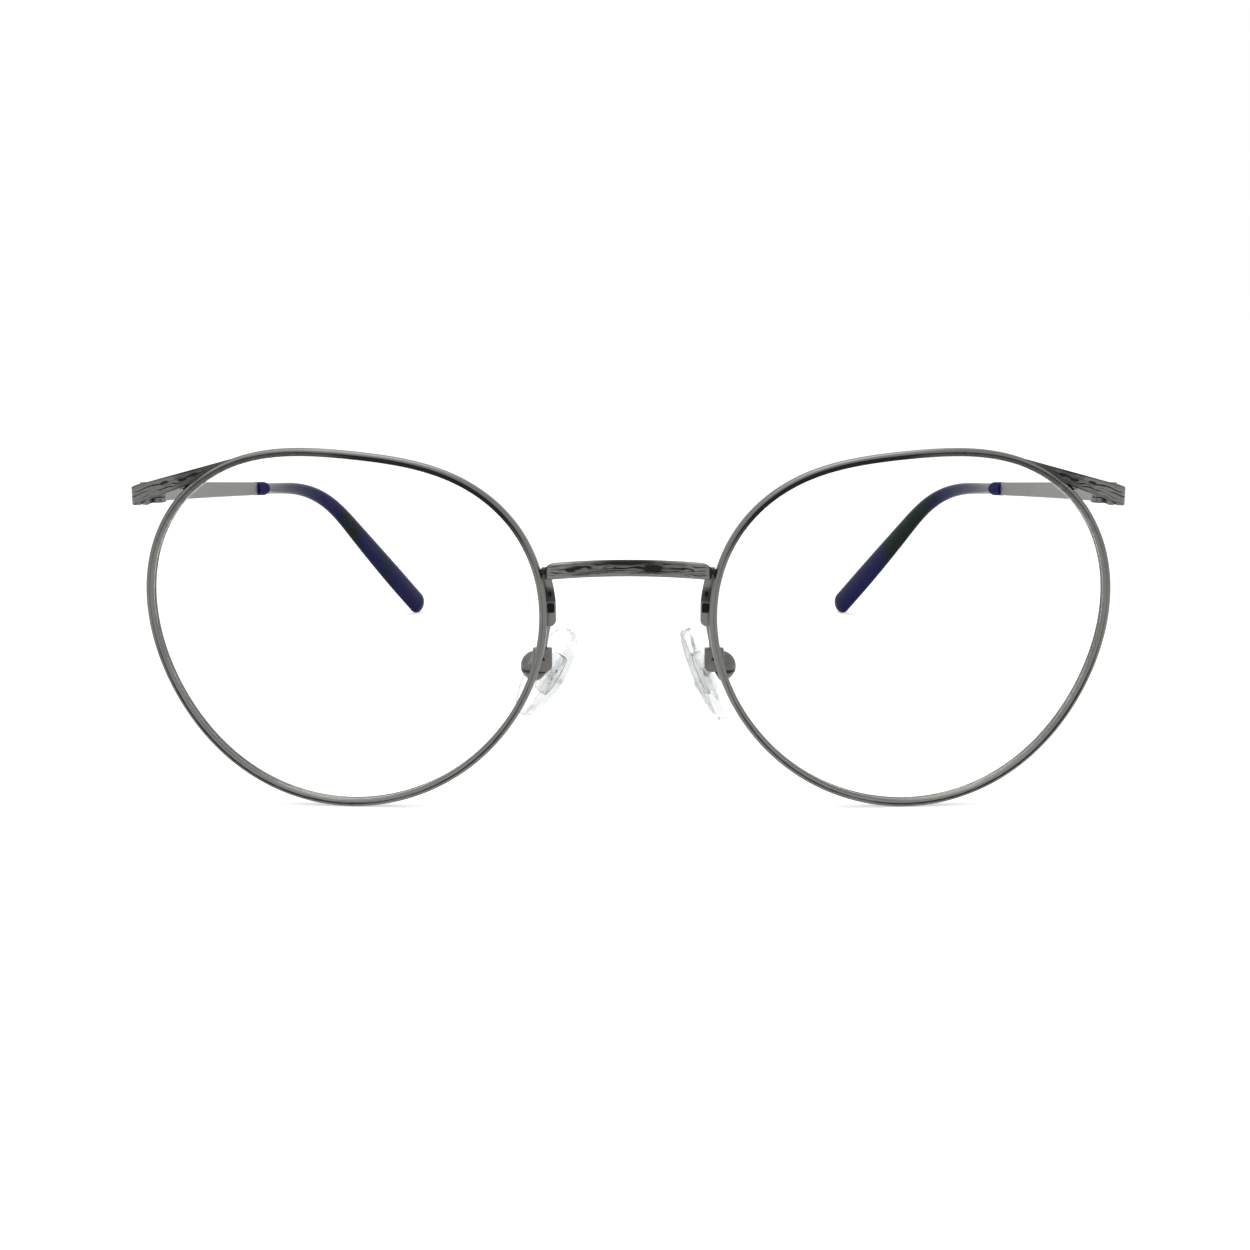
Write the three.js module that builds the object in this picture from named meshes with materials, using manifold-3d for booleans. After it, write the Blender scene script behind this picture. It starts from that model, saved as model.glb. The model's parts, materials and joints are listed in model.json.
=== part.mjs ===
// Round wire eyeglasses with clear lenses, standing open on a table.
// Millimetres, +Z up, +Y runs back along the temples. The origin is at the middle of the footprint, on
// the table. "left" and "right" are the wearer's: the wearer's left is on the +X side.
// Each side is drawn once, as the left side, and the right side is its mirror image; only the two nose
// pads sit at their own angles on their balls.
import * as THREE from 'three';
import { mergeVertices } from 'three/addons/utils/BufferGeometryUtils.js';
import Module from 'manifold-3d';

const wasm = await Module();
wasm.setup();

// ---- Driving dimensions ----
const GAP = 0.08; // between pieces that are brazed, clamped or glued together
const FRONT_Y = -63.6; // where the lens planes cross x = LENS_X, so that the origin is mid footprint

// Lens outline, seen from the front, as a radius around the lens centre: a circle with a slight oval, a
// panto shape (three lobes) and a trace of squareness, each lobe turned by its own angle
const OUTLINE = {
  mean: 23.55,
  lobes: [
    { count: 2, height: 1.32, turn: 10 },
    { count: 3, height: 0.92, turn: 35.3 },
    { count: 4, height: 0.22, turn: 45 },
  ],
};
const LENS_X = 36; // lens centre from the middle of the nose
const WRAP = 4; // degrees that each lens plane turns back at the temple side
const BASE_RADIUS = 120; // the lenses and rims lie on a sphere of this radius
const MEAN_RIM_RADIUS = 24; // where that sphere crosses the lens plane
const LENS_THICKNESS = 1.3;
const BEVEL = { base: 0.34, height: 0.38 }; // half width and height of the lens's V edge

const RIM_FACE = 1; // rim width seen from the front
const RIM_DEPTH = 1.5;
const RIM_CHAMFER = { outer: 0.26, outerDrop: 0.28, inner: 0.12 };
const GROOVE = { base: 0.38, depth: 0.45 };
const SPLIT_ANGLE = 42; // where the rim is cut, around the lens centre from the temple side
const SPLIT_GAP = 0.3;

const BLOCK = {
  inner: RIM_FACE + GAP, outer: 2.23, front: 0.6, back: 2.1, height: 1.15, bore: 0.36, corner: 0.35,
};
const RIM_SCREW = { radius: 0.3, head: 0.52, headHeight: 0.32, round: 0.1 };

const END = { corner: 62.9, top: 41.3, bottom: 38.85, rise: 0.275, fall: 0.367, thick: 1, leg: 1.2 };
const END_NOSE = { x: 46.2, z: 45.55, curveTo: 50.6 }; // where its top edge leaves the rim, curved as far
const END_UNDER = 54.6; // where its bottom edge is well inside the rim
const END_BEND = 1.3; // outside bend at the corner
const END_FRONT = -0.55; // front face of the end piece, from the lens plane
const END_LEG_BACK = 5.6; // how far the leg reaches back, from the lens plane's crossing

const HINGE = { x: 60.55, y: 5.75, z: 39.95, height: 2.2, knuckle: 0.66, radius: 1.05, bore: 0.5 };
const HINGE_SCREW = { radius: 0.45, head: 0.8, headHeight: 0.25 };
const HINGE_CLEAR = { around: 0.12, between: 0.08 }; // radial, and between the knuckles
const LEAF = { thick: 0.7, front: 3, back: 5.6 }; // how far each leaf reaches from the screw
const LEAF_NECK = { front: 1.6, back: 1.7, start: 0.5 }; // where each leaf leaves its knuckle, from the screw

const TEMPLE_START = { x: 62.4, y: 5.85, z: 40.15 };
const STRIP = { thick: 1, height: 2.55, endHeight: 2.2, length: 70.5 };
const TIP_LENGTH = 140; // from the hinge to the end of the tip, along the temple
const CORE_RADIUS = 0.5;
const CORE_END = 126;
const BORE_RADIUS = 0.62;
// Heading of the temple along its length: it bows out, turns in behind the ear, and bends down
const PLAN = { straight: 6, splay: 5, straighten: 0.111, turnIn: 21.3, turnStart: 75, turnLength: 24 };
const SIDE = { slope: 6.58, hook: 42.2, hookStart: 86, hookLength: 25 };
// Half heights and half thickness of the acetate tip
const TIP = { collar: 1.15, neck: 0.97, end: 2.15, thick: 0.95, endThick: 1.05, round: 2.2 };
const TIP_AT = { dropStart: 76.2, collarEnd: 77, growStart: 82, growEnd: 132 }; // lengths along the temple
const THINNING = 0.08; // share of its thickness that the strip loses towards the tip

const BRIDGE = { half: 10.5, top: 32.2, height: 2.05, arch: 0.55, front: -3.5, thick: 1, back: -1.1 };
const BRIDGE_ROUND = { corner: 0.7, bow: 0.35, bend: 1.2 }; // top corners, forward bow, bend at the ends
const BRIDGE_LINK = { reach: 11.6, bottom: 30.55, top: 31.45, depth: 0.8 };

const FOOT = {
  front: -0.62, thick: 0.6, top: 31.4, bottom: 23.8, nose: 9.15, rim: 10.95, slant: 0.9, corner: 0.8,
};
const FOOT_BEND = { middle: 28.6, end: 26.4 }; // heights at which its slanted edge bends and ends
const TONGUE = { x: 11.15, y: 3.85, top: 20.1, bottom: 16.95, width: 2.5, thick: 0.9, corner: 0.75 };
const WIRE_RADIUS = 0.5;
const WIRE_BENDS = [[10.3, 1, 24.5], [10.5, 2.7, 23.1], [10.85, 3.6, 21.4]]; // from foot to tongue

const CUP = { x: 12.15, y: 6, z: 17.2, radius: 2, cavity: 1.08, mouth: 0.7 };
const BALL_RADIUS = 1;
const NECK_RADIUS = 0.45;
const PLATE = { width: 2.8, length: 5.6, thick: 0.6, from: 2.5, corner: 0.8 };
const PAD = { width: 7.2, length: 13.1, thick: 2.9, from: 1.4, down: 0.35, back: 1.4 };
const PAD_TOP_BACK = 7; // degrees that the top of the pad leans back

const SIDES = [
  { name: 'left', mirror: 1, padSlope: 23.5, padSplay: 12 },
  { name: 'right', mirror: -1, padSlope: 31, padSplay: 30 },
];

// ---- Materials ----
const metal = (color, roughness) => new THREE.MeshStandardMaterial({ color, roughness, metalness: 1 });
const gunmetal = metal(0x77746f, 0.3);
const satin = metal(0x9a9894, 0.45);
const screwMetal = metal(0x6b6965, 0.35);
const acetate = new THREE.MeshStandardMaterial({ color: 0x1c1c4b, roughness: 0.25, metalness: 0 });
const silicone = new THREE.MeshStandardMaterial({
  color: 0xe8eeee, roughness: 0.3, metalness: 0, transparent: true, opacity: 0.4,
});
const hardPlastic = new THREE.MeshStandardMaterial({ color: 0xb9bcbb, roughness: 0.35, metalness: 0 });
const clearLens = new THREE.MeshStandardMaterial({
  color: 0xffffff, roughness: 0.02, metalness: 0, transparent: true, opacity: 0.12,
});

// ---- Small helpers ----
const rad = THREE.MathUtils.degToRad;
const { smoothstep } = THREE.MathUtils;
const v3 = (x, y, z) => new THREE.Vector3(x, y, z);

function named(name, geometry, material) {
  const mesh = new THREE.Mesh(geometry, material);
  mesh.name = name;
  return mesh;
}

// A geometry as a solid for cutting and joining
function solid(geometry) {
  const bare = geometry.clone();
  bare.deleteAttribute('normal');
  bare.deleteAttribute('uv');
  const merged = mergeVertices(bare, 1e-4);
  return new wasm.Manifold(new wasm.Mesh({
    numProp: 3,
    vertProperties: merged.attributes.position.array,
    triVerts: new Uint32Array(merged.index.array),
  }));
}

// A solid back as a geometry
function geometryOf(made) {
  const { vertProperties, triVerts, numProp } = made.getMesh();
  const geometry = new THREE.BufferGeometry();
  geometry.setAttribute('position', new THREE.BufferAttribute(new Float32Array(vertProperties), numProp));
  geometry.setIndex(new THREE.BufferAttribute(new Uint32Array(triVerts), 1));
  const flat = geometry.toNonIndexed();
  flat.computeVertexNormals();
  return flat;
}

// A plan outline (x, y) raised from one height to another
function raised(shape, bottom, top, curveSegments = 12) {
  const geometry = new THREE.ExtrudeGeometry(shape, {
    depth: top - bottom, bevelEnabled: false, curveSegments,
  });
  return geometry.translate(0, 0, bottom);
}

// A front outline (x, z) carried back from one y to another
function carriedBack(shape, front, back, curveSegments = 12) {
  return raised(shape, -back, -front, curveSegments).rotateX(Math.PI / 2);
}

function box(x0, x1, y0, y1, z0, z1) {
  return new THREE.BoxGeometry(x1 - x0, y1 - y0, z1 - z0)
    .translate((x0 + x1) / 2, (y0 + y1) / 2, (z0 + z1) / 2);
}

// A round bar that stands on the plan point (x, y)
function upright(radius, x, y, bottom, top, sides = 20) {
  return new THREE.CylinderGeometry(radius, radius, top - bottom, sides)
    .rotateX(Math.PI / 2)
    .translate(x, y, (bottom + top) / 2);
}

// ---- The lens outline and the sphere that it lies on ----
function outlineAt(angle) {
  let radius = OUTLINE.mean;
  let slope = 0;
  for (const { count, height, turn } of OUTLINE.lobes) {
    const phase = count * (angle - rad(turn));
    radius += height * Math.cos(phase);
    slope -= count * height * Math.sin(phase);
  }
  const cos = Math.cos(angle);
  const sin = Math.sin(angle);
  const normal = new THREE.Vector2(radius * cos + slope * sin, radius * sin - slope * cos).normalize();
  return { radius, normal, x: radius * cos, z: radius * sin };
}

// How far behind the lens plane the sphere lies, at a distance from the lens centre
const sphereBack = (radius) => (radius ** 2 - MEAN_RIM_RADIUS ** 2) / (2 * BASE_RADIUS);

// The outline a given distance outside the lens opening, as a path in the lens's own frame
class OutlineCurve extends THREE.Curve {
  constructor(outside, from, to) {
    super();
    Object.assign(this, { outside, from, to });
  }
  getPoint(t) {
    const { radius, normal, x, z } = outlineAt(this.from + t * (this.to - this.from));
    return v3(x + normal.x * this.outside, sphereBack(radius), z + normal.y * this.outside);
  }
}

const OUTER_STEPS = 240;
const outerPoints = new OutlineCurve(RIM_FACE, 0, 2 * Math.PI).getPoints(OUTER_STEPS);
const LENS_Z = -Math.min(...outerPoints.map((point) => point.z));

// The lens's own frame: x towards the temple, y back, z up
function lensFrame(...children) {
  const frame = new THREE.Group();
  frame.position.set(LENS_X, 0, LENS_Z);
  frame.rotation.z = rad(WRAP);
  frame.add(...children);
  return frame;
}

// The whole space inside the rim's outer edge, which the pieces brazed to the rim are cut back from
function rimEnvelope() {
  const edge = new OutlineCurve(RIM_FACE + GAP, 0, 2 * Math.PI).getPoints(OUTER_STEPS);
  edge.pop();
  const shape = new THREE.Shape(edge.map((point) => new THREE.Vector2(point.x, point.z)));
  const geometry = carriedBack(shape, -8, 8).rotateZ(rad(WRAP)).translate(LENS_X, 0, LENS_Z);
  return solid(geometry);
}
const envelope = rimEnvelope();

// ---- Rim and lens ----
function rimGeometry() {
  const half = RIM_DEPTH / 2;
  const { outer, outerDrop, inner } = RIM_CHAMFER;
  const frontHalf = [
    [GROOVE.base, 0], [half - inner, 0], [half, inner],
    [half, RIM_FACE - outerDrop], [half - outer, RIM_FACE],
  ];
  const backHalf = frontHalf.map(([front, outside]) => [-front, outside]).reverse();
  const profile = new THREE.Shape([...frontHalf, ...backHalf, [0, GROOVE.depth]]
    .map(([front, outside]) => new THREE.Vector2(front, outside)));
  const split = rad(SPLIT_ANGLE);
  const halfGap = SPLIT_GAP / 2 / outlineAt(split).radius;
  const path = new OutlineCurve(0, split + halfGap, split + 2 * Math.PI - halfGap);
  return new THREE.ExtrudeGeometry(profile, { steps: 96, extrudePath: path, bevelEnabled: false });
}

// A round lens turned on a lathe, then drawn out to the outline and laid on the sphere
function lensGeometry() {
  const half = LENS_THICKNESS / 2;
  const edge = MEAN_RIM_RADIUS - GAP;
  const profile = [
    [0, half], [12, half], [edge, half], [edge, BEVEL.base],
    [edge + BEVEL.height + GAP, 0],
    [edge, -BEVEL.base], [edge, -half], [12, -half], [0, -half],
  ].map(([radius, back]) => new THREE.Vector2(radius, -back));
  const geometry = new THREE.LatheGeometry(profile, 72);
  const places = geometry.attributes.position;
  for (let i = 0; i < places.count; i += 1) {
    const x = places.getX(i);
    const z = places.getZ(i);
    const { radius } = outlineAt(Math.atan2(z, x));
    const stretch = radius / MEAN_RIM_RADIUS;
    const reach = Math.min(Math.hypot(x, z) * stretch, radius);
    places.setXYZ(i, x * stretch, places.getY(i) + sphereBack(reach), z * stretch);
  }
  return geometry;
}

// ---- Closing blocks and the rim screw, in a frame at the cut in the rim ----
const splitPoint = outlineAt(rad(SPLIT_ANGLE));

function splitFrame(...children) {
  const frame = new THREE.Group();
  frame.position.set(splitPoint.x, 0, splitPoint.z);
  frame.rotation.y = -Math.atan2(splitPoint.normal.y, splitPoint.normal.x);
  frame.add(...children);
  return lensFrame(frame);
}

const blockMiddle = { x: (BLOCK.inner + BLOCK.outer) / 2 + 0.05, y: (BLOCK.front + BLOCK.back) / 2 };

function blockGeometry(bottom, top) {
  const { corner } = BLOCK;
  const shape = new THREE.Shape();
  shape.moveTo(BLOCK.inner, BLOCK.front);
  shape.lineTo(BLOCK.outer, BLOCK.front);
  shape.lineTo(BLOCK.outer, BLOCK.back - corner);
  shape.absarc(BLOCK.outer - corner, BLOCK.back - corner, corner, 0, Math.PI / 2);
  shape.lineTo(BLOCK.inner + corner, BLOCK.back);
  shape.absarc(BLOCK.inner + corner, BLOCK.back - corner, corner, Math.PI / 2, Math.PI);
  shape.holes.push(new THREE.Path().absarc(blockMiddle.x, blockMiddle.y, BLOCK.bore, 0, 2 * Math.PI));
  return raised(shape, bottom, top, 8);
}

function rimScrewGeometry() {
  const headTop = -SPLIT_GAP / 2 - BLOCK.height - GAP / 2;
  const top = BLOCK.height;
  const profile = [
    [0, headTop - RIM_SCREW.headHeight], [RIM_SCREW.head - RIM_SCREW.round, headTop - RIM_SCREW.headHeight],
    [RIM_SCREW.head, headTop - RIM_SCREW.headHeight + RIM_SCREW.round], [RIM_SCREW.head, headTop],
    [RIM_SCREW.radius, headTop], [RIM_SCREW.radius, top], [0, top],
  ].map(([radius, z]) => new THREE.Vector2(radius, z));
  return new THREE.LatheGeometry(profile, 16)
    .rotateX(Math.PI / 2)
    .translate(blockMiddle.x, blockMiddle.y, 0);
}

// ---- End piece: a bar seen from the front as a wedge, and from above bent back at the corner ----
function endPieceGeometry() {
  const { corner, top, bottom, rise, fall, thick, leg } = END;
  const topAt = (x) => top + rise * (corner - x);
  const bottomAt = (x) => bottom + fall * (corner - x);
  const front = new THREE.Shape();
  const middle = (END_NOSE.x + END_NOSE.curveTo) / 2;
  front.moveTo(END_NOSE.x, END_NOSE.z);
  front.quadraticCurveTo(middle, topAt(middle), END_NOSE.curveTo, topAt(END_NOSE.curveTo));
  front.lineTo(corner + 1, topAt(corner + 1));
  front.lineTo(corner + 1, bottomAt(corner + 1));
  front.lineTo(END_UNDER, bottomAt(END_UNDER));

  const turn = Math.tan(rad(WRAP));
  const faceAt = (x) => END_FRONT + (x - LENS_X) * turn;
  const start = END_NOSE.x - 2;
  const plan = new THREE.Shape();
  plan.moveTo(start, faceAt(start));
  plan.lineTo(corner - END_BEND, faceAt(corner - END_BEND));
  plan.quadraticCurveTo(corner, faceAt(corner), corner, faceAt(corner) + END_BEND);
  plan.lineTo(corner, END_LEG_BACK);
  plan.lineTo(corner - leg, END_LEG_BACK);
  plan.lineTo(corner - leg, faceAt(corner) + thick + 0.3);
  plan.lineTo(corner - leg - 0.3, faceAt(corner - leg) + thick);
  plan.lineTo(start, faceAt(start) + thick);

  const wedge = solid(carriedBack(front, -4, 8));
  const bent = solid(raised(plan, 30, 50));
  return geometryOf(wedge.intersect(bent).subtract(envelope));
}

// ---- Temple hinge: two knuckles on the front leaf, one between them on the temple leaf ----
const hingeLevels = {
  bottom: HINGE.z - HINGE.height / 2,
  top: HINGE.z + HINGE.height / 2,
  lower: HINGE.z - HINGE.height / 2 + HINGE.knuckle,
  upper: HINGE.z + HINGE.height / 2 - HINGE.knuckle,
};

function leafGeometry(shape, clearings) {
  const bore = new THREE.Path().absarc(HINGE.x, HINGE.y, HINGE.bore, 0, 2 * Math.PI);
  shape.holes.push(bore);
  let leaf = solid(raised(shape, hingeLevels.bottom, hingeLevels.top, 8));
  for (const [bottom, top] of clearings)
    leaf = leaf.subtract(solid(upright(HINGE.radius + HINGE_CLEAR.around, HINGE.x, HINGE.y, bottom, top)));
  return geometryOf(leaf);
}

function frontLeafGeometry() {
  const outer = END.corner - END.leg - GAP;
  const inner = outer - LEAF.thick;
  const start = HINGE.y - LEAF.front;
  const shape = new THREE.Shape();
  shape.moveTo(outer, start);
  shape.lineTo(outer, HINGE.y);
  shape.absarc(HINGE.x, HINGE.y, HINGE.radius, 0, rad(200));
  shape.lineTo(inner, HINGE.y - LEAF_NECK.front);
  shape.lineTo(inner, start);
  return leafGeometry(shape, [[hingeLevels.lower, hingeLevels.upper]]);
}

// Behind its neck the temple leaf slopes down with the temple
function templeLeafGeometry() {
  const outer = TEMPLE_START.x - STRIP.thick / 2 - GAP;
  const inner = outer - LEAF.thick;
  const end = HINGE.y + LEAF.back;
  const neck = HINGE.y + LEAF_NECK.back;
  const shape = new THREE.Shape();
  shape.moveTo(outer, HINGE.y + LEAF_NECK.start);
  shape.lineTo(outer, end);
  shape.lineTo(inner, end);
  shape.lineTo(inner, neck);
  shape.absarc(HINGE.x, HINGE.y, HINGE.radius, rad(150), 2 * Math.PI);
  const leaf = leafGeometry(shape, [
    [hingeLevels.bottom - 1, hingeLevels.lower + HINGE_CLEAR.between],
    [hingeLevels.upper - HINGE_CLEAR.between, hingeLevels.top + 1],
  ]);
  const places = leaf.attributes.position;
  for (let i = 0; i < places.count; i += 1) {
    const behind = Math.max(places.getY(i) - neck, 0);
    places.setZ(i, places.getZ(i) - behind * Math.tan(rad(SIDE.slope)));
  }
  leaf.computeVertexNormals();
  return leaf;
}

function hingeScrewGeometry() {
  const { bottom, top } = hingeLevels;
  const headBottom = top + GAP / 2;
  const profile = [
    [0, bottom], [HINGE_SCREW.radius, bottom], [HINGE_SCREW.radius, headBottom],
    [HINGE_SCREW.head, headBottom], [HINGE_SCREW.head, headBottom + 0.1],
    [HINGE_SCREW.head - 0.2, headBottom + HINGE_SCREW.headHeight], [0, headBottom + HINGE_SCREW.headHeight],
  ].map(([radius, z]) => new THREE.Vector2(radius, -z));
  return new THREE.LatheGeometry(profile.reverse(), 20).rotateX(-Math.PI / 2).translate(HINGE.x, HINGE.y, 0);
}

// ---- Temple: a path worked out from its heading, and bars laid along it ----
function templeHeading(length) {
  const out = length < PLAN.straight ? 0 : PLAN.splay - PLAN.straighten * (length - PLAN.straight);
  const turn = smoothstep(length, PLAN.turnStart, PLAN.turnStart + PLAN.turnLength);
  const hook = smoothstep(length, SIDE.hookStart, SIDE.hookStart + SIDE.hookLength);
  const yaw = rad(out - PLAN.turnIn * turn);
  const pitch = rad(-SIDE.slope - (SIDE.hook - SIDE.slope) * hook);
  return { yaw, pitch };
}

const PATH_STEP = 0.25;
const templePath = [v3(TEMPLE_START.x, TEMPLE_START.y, TEMPLE_START.z)];
for (let length = PATH_STEP / 2; length < TIP_LENGTH; length += PATH_STEP) {
  const { yaw, pitch } = templeHeading(length);
  const flat = Math.cos(pitch) * PATH_STEP;
  const last = templePath[templePath.length - 1];
  templePath.push(v3(flat * Math.sin(yaw), flat * Math.cos(yaw), Math.sin(pitch) * PATH_STEP).add(last));
}

// Where a point goes that is `length` along the temple, `out` sideways and `up` from its middle
function onTemple(length, out, up) {
  const place = Math.min(Math.max(length / PATH_STEP, 0), templePath.length - 1.001);
  const index = Math.floor(place);
  const { yaw, pitch } = templeHeading(length);
  const sideways = v3(Math.cos(yaw), -Math.sin(yaw), 0);
  const ahead = v3(Math.cos(pitch) * Math.sin(yaw), Math.cos(pitch) * Math.cos(yaw), Math.sin(pitch));
  const upward = sideways.clone().cross(ahead);
  return templePath[index].clone().lerp(templePath[index + 1], place - index)
    .addScaledVector(sideways, out)
    .addScaledVector(upward, up);
}

// Lays a straight bar (x out, y along, z up) on the temple's path; size gives its half sizes
function laidOnTemple(geometry, size) {
  const places = geometry.attributes.position;
  for (let i = 0; i < places.count; i += 1) {
    const along = places.getY(i);
    const { out, up } = size(along);
    const point = onTemple(along, places.getX(i) * out, places.getZ(i) * up);
    places.setXYZ(i, point.x, point.y, point.z);
  }
  geometry.computeVertexNormals();
  return geometry;
}

// A straight round bar of radius 1 between two lengths along the temple
function roundBar(start, end, sides, steps) {
  return new THREE.CylinderGeometry(1, 1, end - start, sides, steps).translate(0, (start + end) / 2, 0);
}

function templeArmGeometry() {
  const { thick, height, endHeight, length } = STRIP;
  const bar = new THREE.BoxGeometry(2, length, 2, 1, 20, 1).translate(0, length / 2, 0);
  const strip = laidOnTemple(bar, (along) => ({
    out: (thick / 2) * (1 - THINNING * smoothstep(along, 10, length)),
    up: (height + (endHeight - height) * (along / length)) / 2,
  }));
  const core = laidOnTemple(roundBar(length - 0.5, CORE_END, 8, 22), () => ({
    out: CORE_RADIUS, up: CORE_RADIUS,
  }));
  return geometryOf(solid(strip).add(solid(core)));
}

// Half sizes of the acetate tip: a collar, a neck, and a paddle with a round end
function tipSize(along) {
  const drop = smoothstep(along, TIP_AT.dropStart, TIP_AT.collarEnd);
  const grow = smoothstep(along, TIP_AT.growStart, TIP_AT.growEnd);
  const end = TIP_LENGTH - along;
  const rounded = end > TIP.round ? 1 : Math.sqrt(Math.max(1 - (1 - end / TIP.round) ** 2, 0));
  const up = (TIP.collar + (TIP.neck - TIP.collar) * drop + (TIP.end - TIP.neck) * grow) * rounded;
  const out = (TIP.thick + (TIP.endThick - TIP.thick) * grow) * rounded;
  return { out, up };
}

function templeTipGeometry() {
  const start = STRIP.length + GAP;
  const roundSteps = 4;
  const { dropStart, collarEnd } = TIP_AT;
  const profile = [[0, start], [1, start], [1, dropStart], [1, collarEnd]];
  const straight = TIP_LENGTH - TIP.round;
  const steps = 20;
  for (let i = 1; i <= steps; i += 1)
    profile.push([1, collarEnd + ((straight - collarEnd) * i) / steps]);
  for (let i = 1; i < roundSteps; i += 1)
    profile.push([1, straight + TIP.round * Math.sin((i / roundSteps) * (Math.PI / 2))]);
  profile.push([0, TIP_LENGTH]);
  const outer = new THREE.LatheGeometry(profile.map(([r, y]) => new THREE.Vector2(r, y)), 12);
  const bore = laidOnTemple(roundBar(start - 1, CORE_END + 1, 8, 22), () => ({
    out: BORE_RADIUS, up: BORE_RADIUS,
  }));
  return geometryOf(solid(laidOnTemple(outer, tipSize)).subtract(solid(bore)));
}

// ---- Bridge: an arched bar whose ends turn back, with a small link to each rim ----
function bridgeGeometry() {
  const { half, top, height, arch, front, thick, back } = BRIDGE;
  const { corner, bow, bend } = BRIDGE_ROUND;
  const face = new THREE.Shape();
  face.moveTo(-half, top - height);
  face.quadraticCurveTo(0, top - height + 2 * arch, half, top - height);
  face.lineTo(half, top - corner);
  face.quadraticCurveTo(half, top, half - corner, top);
  face.quadraticCurveTo(0, top + 2 * arch, corner - half, top);
  face.quadraticCurveTo(-half, top, -half, top - corner);

  const plan = new THREE.Shape();
  plan.moveTo(-half, back);
  plan.lineTo(-half, front + bow + bend);
  plan.quadraticCurveTo(-half, front + bow, bend - half, front + bow * 0.8);
  plan.quadraticCurveTo(0, front - bow * 0.8, half - bend, front + bow * 0.8);
  plan.quadraticCurveTo(half, front + bow, half, front + bow + bend);
  plan.lineTo(half, back);
  plan.lineTo(half - thick, back);
  plan.lineTo(half - thick, front + bow + thick + 0.2);
  plan.lineTo(half - thick - 0.4, front + bow * 0.8 + thick);
  plan.quadraticCurveTo(0, front - bow * 0.8 + thick, thick + 0.4 - half, front + bow * 0.8 + thick);
  plan.lineTo(thick - half, front + bow + thick + 0.2);
  plan.lineTo(thick - half, back);

  let made = solid(carriedBack(face, front - 2, back + 2)).intersect(solid(raised(plan, 20, 40)));
  for (const side of [1, -1]) {
    const ends = [side * (half - 0.3), side * BRIDGE_LINK.reach].sort((a, b) => a - b);
    const link = solid(box(...ends, back - BRIDGE_LINK.depth, back, BRIDGE_LINK.bottom, BRIDGE_LINK.top));
    const rim = side > 0 ? envelope : envelope.mirror([1, 0, 0]);
    made = made.add(link.subtract(rim));
  }
  return geometryOf(made);
}

// ---- Pad arm: a foot behind the rim, a bent wire, and a tongue on the cup ----
function padArmGeometry() {
  const foot = new THREE.Shape();
  foot.moveTo(FOOT.rim, FOOT.top);
  foot.lineTo(FOOT.nose + FOOT.slant, FOOT.top);
  foot.quadraticCurveTo(FOOT.nose + FOOT.slant / 2, FOOT_BEND.middle, FOOT.nose, FOOT_BEND.end);
  foot.lineTo(FOOT.nose, FOOT.bottom + FOOT.corner);
  foot.quadraticCurveTo(FOOT.nose, FOOT.bottom, FOOT.nose + FOOT.corner, FOOT.bottom);
  foot.lineTo(FOOT.rim, FOOT.bottom);

  const footMiddle = FOOT.front + FOOT.thick / 2;
  const wirePath = new THREE.CatmullRomCurve3([
    v3(WIRE_BENDS[0][0], footMiddle, WIRE_BENDS[0][2] + WIRE_RADIUS),
    ...WIRE_BENDS.map((bend) => v3(...bend)),
    v3(TONGUE.x, TONGUE.y, TONGUE.top - TONGUE.thick),
  ]);
  const round = new THREE.Shape().absarc(0, 0, WIRE_RADIUS, 0, 2 * Math.PI);
  const wire = new THREE.ExtrudeGeometry(round, {
    steps: 16, extrudePath: wirePath, bevelEnabled: false, curveSegments: 4,
  });

  const { y, top, bottom, thick, corner } = TONGUE;
  const nose = TONGUE.x - TONGUE.width / 2;
  const rim = TONGUE.x + TONGUE.width / 2;
  const tongue = new THREE.Shape();
  tongue.moveTo(rim, top);
  tongue.lineTo(nose, top);
  tongue.lineTo(nose, bottom + corner);
  tongue.absarc(nose + corner, bottom + corner, corner, Math.PI, 1.5 * Math.PI);
  tongue.lineTo(rim - corner, bottom);
  tongue.absarc(rim - corner, bottom + corner, corner, 1.5 * Math.PI, 2 * Math.PI);

  const cupSpace = new THREE.SphereGeometry(CUP.radius + GAP, 16, 12).translate(CUP.x, CUP.y, CUP.z);
  return geometryOf(
    solid(carriedBack(foot, FOOT.front, FOOT.front + FOOT.thick))
      .add(solid(wire))
      .add(solid(carriedBack(tongue, y - thick / 2, y + thick / 2)))
      .subtract(solid(cupSpace)),
  );
}

// ---- Cup, insert and nose pad, in the pad's own frame: x across, y up the pad, z towards the nose ----
function padFrame({ padSlope, padSplay }, ...children) {
  const slope = rad(padSlope);
  const lean = rad(PAD_TOP_BACK);
  const splay = rad(padSplay);
  const up = v3(-Math.sin(slope) * Math.cos(lean), Math.sin(lean), Math.cos(slope) * Math.cos(lean));
  const toNose = v3(-Math.cos(splay), Math.sin(splay), 0);
  toNose.addScaledVector(up, -toNose.dot(up)).normalize();
  const across = up.clone().cross(toNose);
  const frame = new THREE.Group();
  frame.position.set(CUP.x, CUP.y, CUP.z);
  frame.quaternion.setFromRotationMatrix(new THREE.Matrix4().makeBasis(across, up, toNose));
  frame.add(...children);
  return frame;
}

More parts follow.
